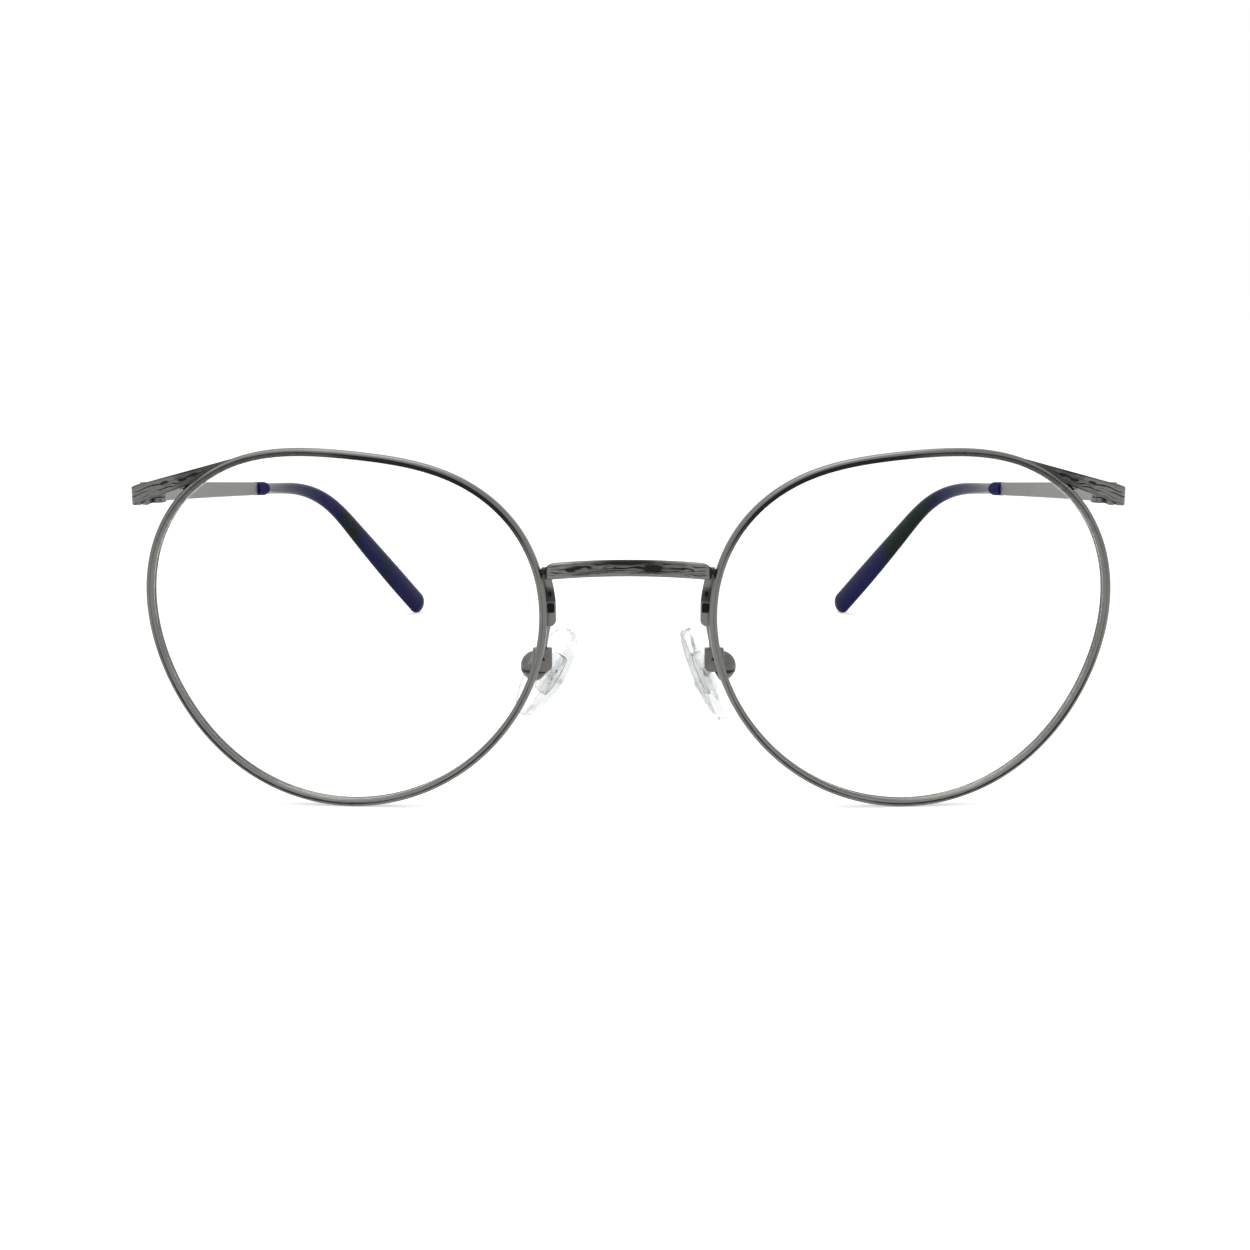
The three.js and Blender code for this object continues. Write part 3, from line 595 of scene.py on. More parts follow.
def easing(radius, count):
    """Distances from a rounded end, close together at first: radius less its cosine"""
    return radius * (1 - np.cos(np.linspace(0.0, np.pi / 2, count)))


def plan_of(points):
    """Forward directions of a flat path, and the length along it"""
    ahead = unit(np.gradient(points, axis=0))
    moves = np.linalg.norm(np.diff(points, axis=0), axis=1)
    return ahead, np.concatenate([[0.0], np.cumsum(moves)])


def turned(profile, around):
    """Rings turned about the z axis from (radius, height) points"""
    angle = turn_of(around)
    radius, height = np.asarray(profile, float).T
    x = radius[:, None] * np.cos(angle)
    y = radius[:, None] * np.sin(angle)
    return np.stack([x, y, np.broadcast_to(height[:, None], x.shape)], axis=-1)


def arc_points(radius, first, last, count, middle=(0.0, 0.0)):
    """Points on an arc, from one angle to another"""
    angle = np.linspace(first, last, count)
    return np.stack([middle[0] + radius * np.cos(angle), middle[1] + radius * np.sin(angle)], axis=-1)


def softened(points, rounds=2, share=0.22):
    """A closed profile with its corners cut by a share of each side, again and again"""
    for _ in range(rounds):
        ahead = np.roll(points, -1, axis=0)
        cut = np.stack([points + share * (ahead - points), ahead + share * (points - ahead)], axis=1)
        points = cut.reshape(-1, points.shape[-1])
    return points


# --- The lens outline, the sphere that it lies on, and the frames of each piece
def outline_at(angle):
    """Radius, x, z and outward normal of the lens outline: a circle with lobes, by cosines"""
    radius = np.full_like(angle, OUTLINE_MEAN)
    slope = np.zeros_like(angle)
    for count, height, turn in OUTLINE_LOBES:
        phase = count * (angle - math.radians(turn))
        radius = radius + height * np.cos(phase)
        slope = slope - count * height * np.sin(phase)
    cos, sin = np.cos(angle), np.sin(angle)
    normal = unit(np.stack([radius * cos + slope * sin, radius * sin - slope * cos], axis=-1))
    return radius, radius * cos, radius * sin, normal


def sphere_back(radius):
    """How far behind the lens plane the sphere lies, at a distance from the lens centre"""
    return (radius**2 - MEAN_RIM_RADIUS**2) / (2 * BASE_RADIUS)


def rim_edge(outside, count=1440):
    """The outline some way outside the lens opening, in the lens's frame"""
    radius, x, z, normal = outline_at(turn_of(count))
    out_x, out_z = outside * normal.T
    return np.stack([x + out_x, sphere_back(radius), z + out_z], axis=-1)


LENS_Z = -rim_edge(RIM_FACE)[:, 2].min()


def from_lens(points):
    """Points of the lens's frame, turned back by the wrap and moved to the lens centre"""
    x, y, z = np.moveaxis(points, -1, 0)
    cos, sin = math.cos(WRAP), math.sin(WRAP)
    return np.stack([LENS_X + x * cos - y * sin, FRONT_Y + x * sin + y * cos, z + LENS_Z], axis=-1)


def rim_top_at(x, outside):
    """Height of the rim's upper edge over x"""
    edge = from_lens(rim_edge(outside))
    upper = edge[edge[:, 2] > LENS_Z]
    upper = upper[np.argsort(upper[:, 0])]
    return np.interp(x, upper[:, 0], upper[:, 2])


def rim_nose_at(z, outside):
    """x and y of the rim's edge towards the nose, at a height"""
    edge = from_lens(rim_edge(outside))
    inner = edge[edge[:, 0] < LENS_X]
    inner = inner[np.argsort(inner[:, 2])]
    return np.interp(z, inner[:, 2], inner[:, 0]), np.interp(z, inner[:, 2], inner[:, 1])


def from_split(points):
    """Points given outwards, back and up from the cut in the rim"""
    _, x, z, normal = outline_at(np.array([SPLIT]))
    out_x, out_z = normal[0]
    axes = np.array([[out_x, 0.0, out_z], [0.0, 1.0, 0.0], [-out_z, 0.0, out_x]])
    return from_lens(np.array([x[0], 0.0, z[0]]) + points @ axes)


def pad_frame(side):
    """Ball centre, and the across, up and nose directions of a nose pad, on the +X side"""
    slope, splay = map(math.radians, PAD_ANGLES[side])
    lean = math.radians(PAD_TOP_BACK)
    up = np.array([-math.sin(slope) * math.cos(lean), math.sin(lean), math.cos(slope) * math.cos(lean)])
    nose = np.array([-math.cos(splay), math.sin(splay), 0.0])
    nose = unit(nose - up * (nose @ up))
    centre = np.array(JOINTS[f"{side}_pad_rock"]["pos_m"]) / MM * (SIDES[side], 1.0, 1.0)
    return centre, np.stack([np.cross(up, nose), up, nose])


def temple_heading(along):
    """Yaw and pitch of the temple: it bows out, turns in behind the ear and bends down"""
    start, degrees, fall = TEMPLE_BOW
    out = np.where(along < start, 0.0, degrees - fall * (along - start))
    yaw = out - TEMPLE_TURN * smoothstep(along, *TEMPLE_TURN_SPAN)
    pitch = -TEMPLE_SLOPE - (TEMPLE_HOOK - TEMPLE_SLOPE) * smoothstep(along, *TEMPLE_HOOK_SPAN)
    return np.radians(yaw), pitch


def temple_ahead(yaw, pitch):
    """Forward directions of the temple from its headings"""
    return np.stack([np.cos(pitch) * np.sin(yaw), np.cos(pitch) * np.cos(yaw), np.sin(pitch)], axis=-1)


def temple_stations(along):
    """Middle, sideways and upward directions at lengths along the temple, by adding up its heading"""
    step = 0.25
    middles = np.arange(step / 2, TEMPLE_LENGTH + step, step)
    moves = step * temple_ahead(*temple_heading(middles))
    path = np.concatenate([np.zeros((1, 3)), np.cumsum(moves, axis=0)]) + np.array(TEMPLE_START)
    lengths = np.arange(len(path)) * step
    centres = np.stack([np.interp(along, lengths, path[:, axis]) for axis in range(3)], axis=-1)
    yaw, pitch = temple_heading(along)
    sideways = np.stack([np.cos(yaw), -np.sin(yaw), np.zeros_like(yaw)], axis=-1)
    return centres, sideways, np.cross(sideways, temple_ahead(yaw, pitch))


def straight_lay(along, x, y):
    """The place of each point as if its bar lay straight along y"""
    return np.stack([x, np.broadcast_to(along[:, None], x.shape), y], axis=-1)


# --- Engraved grain
BRIDGE_KNOTS = (  # place along in mm, place across from -1 to 1, length in mm, height
    (-3.1, 0.0, 1.6, 0.5), (2.3, 0.25, 1.2, 0.34), (6.4, -0.15, 1.5, 0.4), (-7.6, 0.1, 1.0, 0.36))
END_KNOTS = (  # the same, with the place along counted from the corner
    (-3.4, 0.35, 0.6, 0.26), (-6.6, -0.1, 1.1, 0.4), (-10.2, 0.1, 1.1, 0.4))


def grain(along, across, knots, lines=2.1, sway=0.3):
    """Depth of wood grain cut into a face, from 0 to 1, at along in mm and across from -1 to 1.

    The lines are the crests of a cosine whose phase grows across the face and sways with sines along
    it. Near each knot the phase turns into the distance from the knot, so the lines run round it as
    rings.
    """
    phase = lines * across + sway * np.sin(0.62 * along + 0.8) + 0.6 * sway * np.sin(1.43 * along + 2.1)
    phase = phase + 0.13 * np.sin(3.1 * along + 4.0 * across)
    for middle, level, length, height in knots:
        away = np.hypot((along - middle) / length, (across - level) / height)
        ring = 1.15 * away + 0.2 * np.sin(2.0 * along)
        near = np.exp(-(away**2) / 1.6)
        phase = phase * (1.0 - near) + (ring + 0.5) * near
    crest = 0.5 + 0.5 * np.cos(2 * np.pi * phase)
    strength = 0.62 + 0.38 * np.sin(0.9 * along + 5.0 * across + 1.0)
    return smoothstep(crest, 0.52, 0.96) * strength


def cut_face(y, place, depth):
    """Sinks the front face of a section by a depth that fades out before its edges"""
    on_face = ~np.isnan(place)
    fade = np.where(on_face, 1.0 - np.abs(np.nan_to_num(place)) ** 10, 0.0)
    return y - depth * fade, depth * fade


# --- Pieces of the front
def rim_profile():
    """The rim's section as (forward, outwards) points: a V groove inside, round corners outside,
    and a fine line turned into the middle of the front face"""
    half, face = RIM_HALF, RIM_FACE
    base, depth = RIM_GROOVE
    corners = np.array([
        [base, 0.0], [half - 0.2, 0.0], [half - 0.04, 0.1], [half, 0.24],
        [half - 0.02, RIM_LINE - 0.06], [half - 0.08, RIM_LINE], [half - 0.02, RIM_LINE + 0.06],
        [half - 0.03, face - 0.34], [half - 0.12, face - 0.14], [half - 0.3, face], [0.3 - half, face],
        [-half, face - 0.3], [-half, 0.14], [0.14 - half, 0.0], [-base, 0.0], [0.0, depth],
    ])
    return softened(corners, 2)


def arc_share(angle, middle, reach, ease):
    """1 within reach of an angle, easing to 0, all in degrees"""
    away = np.abs((np.degrees(angle) - middle + 180.0) % 360.0 - 180.0)
    return 1.0 - smoothstep(away, reach - ease / 2, reach + ease / 2)


def rim_mark(angle, forward, outward):
    """Oxide in the turned line, and painted dark reflections on the inner half of the upper arc,
    deepest towards the nose, and in a band along the middle of the lower arc"""
    front = smoothstep(forward, 0.2, 0.45)
    line = np.exp(-(((outward - RIM_LINE) / 0.07) ** 2))
    inner = 1.0 - smoothstep(outward, RIM_LINE + 0.04, RIM_LINE + 0.2)
    band = np.exp(-(((outward - RIM_LINE - 0.1) / 0.14) ** 2))
    nose_up = arc_share(angle, 120.0, 33.0, 30.0)
    top = arc_share(angle, 90.0, 55.0, 50.0)
    outer_low = arc_share(angle, 302.0, 48.0, 40.0)
    nose_low = arc_share(angle, 228.0, 26.0, 30.0)
    # the turned line holds oxide; the arcs get painted dark reflections
    mark = 0.3 * line + inner * np.maximum(nose_up, 0.5 * top)
    mark = mark + band * np.maximum(0.72 * outer_low, 0.6 * nose_low)
    return np.clip(mark * front, 0.0, 1.0)


def make_rim(side):
    """A rim: its profile carried round the lens outline, from one side of the cut to the other"""
    _, x0, z0, _ = outline_at(np.array([SPLIT]))
    half_gap = SPLIT_GAP / 2 / float(np.hypot(x0, z0)[0])
    angle = np.linspace(SPLIT + half_gap, SPLIT + 2 * np.pi - half_gap, steps(480))
    radius, x, z, normal = outline_at(angle)
    forward, outward = rim_profile().T
    grid = np.stack([
        x[:, None] + normal[:, :1] * outward,
        sphere_back(radius)[:, None] - forward,
        z[:, None] + normal[:, 1:] * outward,
    ], axis=-1)
    around = np.cumsum(np.hypot(np.gradient(x), np.gradient(z)))
    lay = straight_lay(around, np.broadcast_to(outward, grid.shape[:2]),
                       np.broadcast_to(forward, grid.shape[:2]))
    mark = rim_mark(angle[:, None], forward[None], outward[None])
    Skin(side).add(from_lens(grid), lay, mark).piece("rim_SIDE", gunmetal, "front", "SIDE_rim")


def make_lens(side):
    """A lens: a flat disc with a V edge, drawn out to the outline and bent onto the sphere"""
    edge = MEAN_RIM_RADIUS - LENS_GAP
    base, height = LENS_BEVEL
    face = np.linspace(0.0, edge - 0.05, 26)[1:]
    front = [(radius, -LENS_HALF) for radius in face]
    rim = [(edge, 0.06 - LENS_HALF), (edge, -base), (edge + height + LENS_GAP - 0.03, -0.03),
           (edge + height + LENS_GAP - 0.03, 0.03), (edge, base), (edge, LENS_HALF - 0.06)]
    back = [(radius, LENS_HALF) for radius in face[::-1]]
    radius, level = np.array(front + rim + back).T
    angle = turn_of(steps(192))
    reach, *_ = outline_at(angle)
    far = radius[:, None] * reach / MEAN_RIM_RADIUS
    grid = np.stack([
        far * np.cos(angle), level[:, None] + sphere_back(np.minimum(far, reach)), far * np.sin(angle),
    ], axis=-1)
    start, end = (from_lens(np.array([0.0, face_y + sphere_back(0.0), 0.0]))
                  for face_y in (-LENS_HALF, LENS_HALF))
    skin = Skin(side).add(from_lens(grid), start=start, end=end)
    skin.piece("lens_SIDE", clear_lens, "front", "SIDE_lens")


def screw_rings(screw, lengths):
    """A screw about z with its slotted head on top.

    The rings are a turned profile: the shaft from its far end, the underside and side of the head, a
    small rounding and the top. The top sinks by the slot's depth within half a slot of the x axis.
    """
    shaft, head, height = screw["shaft"], screw["head"], screw["height"]
    slot = sizes().slot / MM
    far_end, under = lengths
    top = under + height
    ease = 0.3 * height
    profile = [(shaft - 0.05, far_end), (shaft, far_end + 0.05), (shaft, under), (head - 0.03, under),
               (head, under + 0.03)]
    profile += [*arc_points(ease, 0.0, np.pi / 2, 5, (head - ease, top - ease))]
    profile += [(share * (head - ease), top) for share in np.linspace(0.95, 0.05, 12)]
    rings = turned(profile, 56)
    on_top = smoothstep(rings[..., 2], top - ease, top)
    cut = on_top * (1.0 - smoothstep(np.abs(rings[..., 1]), 0.42 * slot, 0.58 * slot))
    rings[..., 2] -= 0.55 * height * cut
    return rings, cut, np.array([0.0, 0.0, far_end]), np.array([0.0, 0.0, top - 0.55 * height])


def make_closing_blocks(side):
    """Each closing block: a soft box with a bore, as rings that run up its outside and down its bore,
    and the screw that pulls the two blocks together"""
    count, soft = 72, 0.14
    half_out = (BLOCK_OUT[1] - BLOCK_OUT[0]) / 2
    half_back = (BLOCK_BACK[1] - BLOCK_BACK[0]) / 2
    centre = np.array([sum(BLOCK_OUT) / 2, sum(BLOCK_BACK) / 2])
    bored = np.array([0.05, 0.0])
    box = squared_ring(half_out, half_back, 0.4, turn_of(count))
    bore = centre + bored + squared_ring(BLOCK_BORE, BLOCK_BORE, 1.0, turn_of(count))
    ends = ((1 - soft / half_out, 0.0), (1 - 0.3 * soft / half_out, 0.3 * soft), (1.0, soft))
    under = SPLIT_GAP / 2 + BLOCK_HEIGHT + 0.02
    screw, cut, start, end = screw_rings(RIM_SCREW, (-BLOCK_HEIGHT, under))
    flip, shift = (1.0, 1.0, -1.0), (*(centre + bored), 0.0)
    for name, bottom in (("upper", SPLIT_GAP / 2), ("lower", -SPLIT_GAP / 2 - BLOCK_HEIGHT)):
        top = bottom + BLOCK_HEIGHT
        levels = [(share, bottom + rise) for share, rise in ends]
        levels += [(share, top - rise) for share, rise in reversed(ends)]
        outside = stacked(box, levels) + (*centre, 0.0)
        rings = np.concatenate([outside, stacked(bore, ((1.0, top), (1.0, bottom)))])
        skin = Skin(side).add(from_split(rings), looped=True)
        skin.piece(f"{name}_block_SIDE", gunmetal, "front", f"SIDE_{name}_closing_block")
    screw, start, end = (from_split(points * flip + shift) for points in (screw, start, end))
    Skin(side).add(screw, mark=cut, start=start, end=end).piece(
        "rim_screw_SIDE", screw_steel, "front", "SIDE_rim_screw")


def make_bridge():
    """The bridge: a bar swept along a plan that runs forward from one rim, round a bend, across in a
    slight bow, and back to the other rim. Its middle rises in a parabola, its top corners drop, and
    grain is cut into its front. A short bar links each end to a rim"""
    bend, half = BRIDGE_BEND, BRIDGE_HALF
    turn_y = BRIDGE_FRONT + BRIDGE_BOW + bend
    leg = np.linspace(BRIDGE_BACK, turn_y, 10)[:-1]
    corner = arc_points(bend, 0.0, -np.pi / 2, 18, (half - bend, turn_y))
    across = np.linspace(half - bend, bend - half, steps(300))[1:-1]
    bowed = BRIDGE_FRONT + BRIDGE_BOW * (across / (half - bend)) ** 2
    other = corner[::-1] * (-1.0, 1.0)
    plan = np.concatenate([
        np.column_stack([np.full(9, half), leg]), corner, np.column_stack([across, bowed]), other,
        np.column_stack([np.full(9, -half), leg[::-1]])])
    ahead, along = plan_of(plan)
    outward = np.column_stack([-ahead[:, 1], ahead[:, 0]])
    along = along - along[-1] / 2
    away = np.abs(along)
    x = plan[:, 0]
    rise = BRIDGE_ARCH * (1.0 - (x / half) ** 2)
    drop = 0.62 * smoothstep(away, half - 0.9, half + 0.8)
    top = BRIDGE_TOP + rise - drop
    lift = 0.25 * smoothstep(away, half + 0.4, half + 1.6)
    bottom = BRIDGE_TOP - BRIDGE_HEIGHT + rise + lift
    ends = away.max() - away
    thick = BRIDGE_THICK * (1.0 - 0.16 * smoothstep(away, half - 1.6, half - 0.4))
    thick = thick - 2 * end_rounding(ends, 0.2)
    centres = np.column_stack([plan - outward * (thick / 2)[:, None], (top + bottom) / 2])
    centres[:, 1] += FRONT_Y
    deep = np.column_stack([outward, np.zeros(len(plan))])
    tall = (top - bottom) / 2 - end_rounding(ends, 0.2)
    section_x, section_y, place = rounded_section(tall, thick / 2, sizes().edge / MM * 1.35, face=30)
    depth = grain(along[:, None], np.nan_to_num(place), BRIDGE_KNOTS)
    depth = depth * (1.0 - smoothstep(away, half - 1.2, half - 0.3))[:, None]
    deepest = sizes().engraving / MM
    section_y, cut = cut_face(section_y, place, deepest * depth)
    grid = swept(centres, UPWARD, deep, section_x, section_y)
    tone = cut / deepest
    height = section_x / tall[:, None]
    crown = np.exp(-((along / 3.6) ** 2))[:, None] * smoothstep(height, 0.2, 0.9)
    bends = smoothstep(away, half - 0.45, half - 0.05)[:, None]
    eye = np.exp(-(((along[:, None] + 3.1) / 1.1) ** 4) - ((height - 0.05) / 0.42) ** 4)
    band = smoothstep(height, -0.75, -0.2) * (1.0 - 0.6 * smoothstep(away, 6.5, 8.5))[:, None]
    edge = 1.0 - smoothstep(height, -0.98, -0.9)
    # besides the grain cut and the knot, the mark darkens the middle of the top, the bends, the lower
    # half and the lower edge
    mark = np.clip(0.85 * tone + 0.85 * crown + bends + 0.9 * eye + 0.3 * band + 0.7 * edge, 0.0, 1.0)
    skin = Skin().add(grid, straight_lay(along, section_x, section_y), mark)
    add_links(skin)
    skin.piece("bridge_bar", gunmetal, "front", "bridge")


def add_links(skin):
    """Adds the two bars between the bridge's ends and the rims: a soft box carried across"""
    rim_x, rim_y = rim_nose_at(LINK_Z, RIM_FACE - 0.25)
    first = np.array([BRIDGE_HALF - 0.75, FRONT_Y + BRIDGE_BACK - 0.45, LINK_Z])
    last = np.array([rim_x, rim_y, LINK_Z])
    share = np.linspace(0.0, 1.0, 9)[:, None]
    centres = first + (last - first) * share
    x, y, _ = rounded_section(
        np.full(9, LINK_HEIGHT / 2 - 0.08), np.full(9, LINK_DEPTH / 2 - 0.05), 0.2)
    grid = swept(centres, UPWARD, np.cross(UPWARD, unit(last - first)), x, y)
    for mirror in SIDES.values():
        # the links are darkened: painted shade between the pad foot and the rim
        skin.add(grid, mark=0.75, mirror=mirror)


def end_plan():
    """The outer face of the end piece seen from above: straight, a round corner, and straight back.

    Returns its points, its outward directions and the length along it
    """
    turn = math.tan(WRAP)
    middle = np.array([END_CORNER - END_BEND, END_FRONT + (END_CORNER - LENS_X) * turn + END_BEND])
    first_x = np.linspace(END_NOSE[0] + 0.05, middle[0] - 0.05, steps(230))
    front = np.column_stack([first_x, END_FRONT + (first_x - LENS_X) * turn])
    corner = arc_points(END_BEND, -np.pi / 2 + WRAP, 0.0, 22, middle)
    leg_y = np.linspace(middle[1], END_LEG_BACK, 18)[1:]
    leg = np.column_stack([np.full(17, END_CORNER), leg_y])
    plan = np.concatenate([front, corner, leg])
    ahead, along = plan_of(plan)
    return plan, np.column_stack([ahead[:, 1], -ahead[:, 0]]), along


def make_end_piece(side):
    """An end piece: a bar swept round the corner plan. Its upper edge falls straight from the rim
    to the corner, its lower edge follows the rim and then rises to the corner, and grain is cut into
    its front"""
    plan, outward, along = end_plan()
    x = np.minimum(plan[:, 0], END_CORNER)
    top = END_TOP + END_RISE * (END_CORNER - x)
    share = np.clip((x - END_NOSE[0]) / (END_CURVE_TO - END_NOSE[0]), 0.0, 1.0)
    straight = END_TOP + END_RISE * (END_CORNER - END_NOSE[0])
    top = top - (straight - END_NOSE[1]) * (1.0 - share) ** 2
    rim_top = rim_top_at(x, RIM_FACE - 0.3)
    bottom = np.maximum(END_BOTTOM + END_FALL * (END_CORNER - x), np.where(x < 58.5, rim_top, 0.0))
    bottom = np.minimum(bottom, top - 0.12)
    ends = along[-1] - along
    corner_at = along[np.argmax(plan[:, 0] > END_CORNER - END_BEND)]
    thick = END_THICK + (END_LEG - END_THICK) * smoothstep(along, corner_at + 1.0, corner_at + 3.0)
    thick = thick - 2 * end_rounding(ends, 0.2)
    tall = (top - bottom) / 2 - end_rounding(ends, 0.2)
    centres = np.column_stack([plan - outward * (thick / 2 + end_rounding(ends, 0.2))[:, None],
                               (top + bottom) / 2])
    centres[:, 1] += FRONT_Y
    deep = np.column_stack([outward, np.zeros(len(plan))])
    section_x, section_y, place = rounded_section(tall, thick / 2, sizes().edge / MM, face=34)
    from_corner = (along - corner_at)[:, None]
    depth = grain(from_corner, np.nan_to_num(place), END_KNOTS, lines=1.9, sway=0.2)
    depth = depth * smoothstep(tall, 0.2, 0.7)[:, None] * smoothstep(-from_corner, -1.5, -0.9)
    deepest = sizes().engraving / MM
    section_y, cut = cut_face(section_y, place, deepest * depth)
    grid = swept(centres, UPWARD, deep, section_x, section_y)
    height = section_x / np.maximum(tall, 0.1)[:, None]
    upper_edge = smoothstep(height, 0.72, 1.0)
    lower_edge = 1.0 - smoothstep(height, -1.0, -0.7)
    eye = np.exp(-(((from_corner + 3.4) / 0.5) ** 2) - ((height - 0.35) / 0.22) ** 2)
    middle = smoothstep(-from_corner, 3.0, 6.5)
    # besides the grain cut and the knot, the mark darkens the upper and lower edges and the part away
    # from the corner
    mark = 0.75 * cut / deepest + 0.65 * upper_edge + 0.5 * middle + 0.5 * lower_edge + 0.8 * eye
    mark = np.clip(mark * smoothstep(-from_corner, -2.0, -1.2), 0.0, 1.0)
    skin = Skin(side).add(grid, straight_lay(along, section_x, section_y), mark)
    skin.piece("end_piece_bar_SIDE", gunmetal, "front", "SIDE_end_piece")


# --- Hinges and temples
def slab(skin, low, high, rounding, fall=0.0):
    """Adds a soft box between two corners, as a section carried along y that falls as it goes"""
    low, high = np.array(low), np.array(high)
    half = (high - low) / 2
    near = easing(rounding, 4)
    distance = np.concatenate([near, [half[1]], 2 * half[1] - near[::-1]])
    near_end = np.minimum(distance, 2 * half[1] - distance)
    shrink = end_rounding(near_end, rounding)
    x, y, _ = rounded_section(half[0] - shrink, half[2] - shrink, rounding)
    count = len(distance)
    centres = np.column_stack([
        np.full(count, low[0] + half[0]), low[1] + distance, low[2] + half[2] - fall * distance])
    skin.add(swept(centres, ACROSS, UPWARD, x, y))


def barrel(skin, bottom, top):
    """Adds a hinge knuckle: a ring about the hinge line, round its section and back down its bore"""
    soft = 0.08
    outer, inner = KNUCKLE_RADIUS, HINGE_SCREW["shaft"] + 0.03
    profile = [(outer - soft, bottom), (outer, bottom + soft), (outer, top - soft), (outer - soft, top),
               (inner, top), (inner, bottom)]
    rings = turned(profile, 48) + (HINGE.x, HINGE.y, 0.0)
    skin.add(rings, looped=True)


def make_hinge(side):
    """A hinge: two knuckles on the front's leaf, one between them on the temple's leaf, each with
    a flat plate, and the screw that they turn on"""
    bottom, top = HINGE.z - HINGE_HEIGHT / 2, HINGE.z + HINGE_HEIGHT / 2
    lower, upper = bottom + KNUCKLE, top - KNUCKLE
    clear = 0.08
    rings, cut, start, end = screw_rings(HINGE_SCREW, (bottom, top + 0.02))
    shift = np.array([HINGE.x, HINGE.y, 0.0])
    outer = END_CORNER - END_LEG - 0.02
    front = Skin(side)
    slab(front, (outer - LEAF_THICK, HINGE.y - 3.0, bottom), (outer, HINGE.y - 1.2, top), 0.08)
    for low, high in ((bottom, lower), (upper, top)):
        slab(front, (outer - LEAF_THICK, HINGE.y - 1.5, low), (outer - 0.03, HINGE.y - 0.1, high), 0.05)
        barrel(front, low, high)
    front.piece("front_leaf_SIDE", satin, "front", "SIDE_front_hinge_leaf")

    outer = TEMPLE_START.x - STRIP_THICK / 2 - 0.02
    inner = outer - LEAF_THICK
    lower, upper = lower + clear, upper - clear
    temple = Skin(side)
    slab(temple, (inner, HINGE.y + 1.45, bottom), (outer, HINGE.y + 5.6, top), 0.08,
         fall=math.tan(TEMPLE_SLOPE))
    slab(temple, (inner - 0.2, HINGE.y + 0.3, lower), (outer, HINGE.y + 1.6, upper), 0.05)
    barrel(temple, lower, upper)
    temple.piece("temple_leaf_SIDE", satin, "SIDE_temple", "SIDE_temple_hinge_leaf")

    screw = Skin(side).add(rings + shift, mark=cut, start=start + shift, end=end + shift)
    screw.piece("hinge_screw_head_SIDE", screw_steel, "front", "SIDE_hinge_screw")


def make_temple_arm(side):
    """A temple strip: a thin upright bar laid on the temple's path, then its round core wire,
    which runs inside the acetate tip"""
    round_end = 0.25
    strip = np.concatenate([
        easing(round_end, 6), np.linspace(round_end, STRIP_LENGTH, steps(180))[1:]])
    core = np.linspace(STRIP_LENGTH + 0.01, CORE_END, 60)
    along = np.concatenate([strip, core])
    thin = 1.0 - 0.08 * smoothstep(strip, 10.0, STRIP_LENGTH)
    shrink = end_rounding(strip, round_end)
    out = np.concatenate([STRIP_THICK / 2 * thin - shrink, np.full(60, CORE_RADIUS - 0.02)])
    tall = STRIP_HEIGHT[0] + (STRIP_HEIGHT[1] - STRIP_HEIGHT[0]) * strip / STRIP_LENGTH
    up = np.concatenate([tall / 2 - shrink, np.full(60, CORE_RADIUS - 0.02)])
    rounding = np.concatenate([np.full(len(strip), sizes().edge / MM * 0.8), np.full(60, CORE_RADIUS)])
    centres, sideways, upward = temple_stations(along)
    x, y, _ = rounded_section(up, out, rounding[:, None], face=7, back=7)
    grid = swept(centres, upward, sideways, x, y)
    Skin(side).add(grid, straight_lay(along, x, y)).piece(
        "temple_strip_SIDE", satin, "SIDE_temple", "SIDE_temple_arm")


TIP_PATCHES = {  # place along the temple, length and strength of each green cloud
    "left": ((106.0, 8.0, 1.0), (116.5, 4.5, 0.55)),
    "right": ((108.5, 4.0, 1.0), (123.0, 3.0, 0.62)),
}


def tip_clouds(side, along, height):
    """Where the green lies in a tip: soft patches along it, tilted with height"""
    slanted = along + 1.4 * height
    return sum(level * np.exp(-(((slanted - middle) / width) ** 2))
               for middle, width, level in TIP_PATCHES[side])


def make_temple_tip(side):
    """An acetate tip: an oval section laid on the temple's path, with a collar that steps down to
    a neck, a paddle that grows towards the end, and a quarter circle round the end"""
    start = STRIP_LENGTH + 0.08
    straight = TEMPLE_LENGTH - TIP_ROUND
    along = np.concatenate([
        start + easing(0.3, 7), np.linspace(start + 0.5, 76.0, 24), np.linspace(76.15, 77.1, 14),
        np.linspace(77.4, straight, steps(240)),
        straight + TIP_ROUND * np.sin(np.linspace(0.08, np.pi / 2 - 0.05, 16))])
    drop = smoothstep(along, *TIP_STEP)
    grow = smoothstep(along, *TIP_GROWTH)
    rounded = np.sqrt(1.0 - np.clip(1.0 - (TEMPLE_LENGTH - along) / TIP_ROUND, 0.0, 1.0) ** 2)
    soft = end_rounding(along - start, 0.3)
    up = (TIP_COLLAR + (TIP_NECK - TIP_COLLAR) * drop + (TIP_END - TIP_NECK) * grow) * rounded - soft
    out = (TIP_THICK[0] + (TIP_THICK[1] - TIP_THICK[0]) * grow) * rounded - soft
    angle = turn_of(steps(56))
    x = up[:, None] * np.cos(angle)
    y = out[:, None] * np.sin(angle)
    centres, sideways, upward = temple_stations(along)
    grid = swept(centres, upward, sideways, x, y)
    end, _, _ = temple_stations(np.array([TEMPLE_LENGTH - 0.02]))
    mark = tip_clouds(side, along[:, None], x)
    skin = Skin(side).add(grid, straight_lay(along, x, y), mark, end=end[0])
    skin.piece("temple_tip_cover_SIDE", acetate, "SIDE_temple", "SIDE_temple_tip")


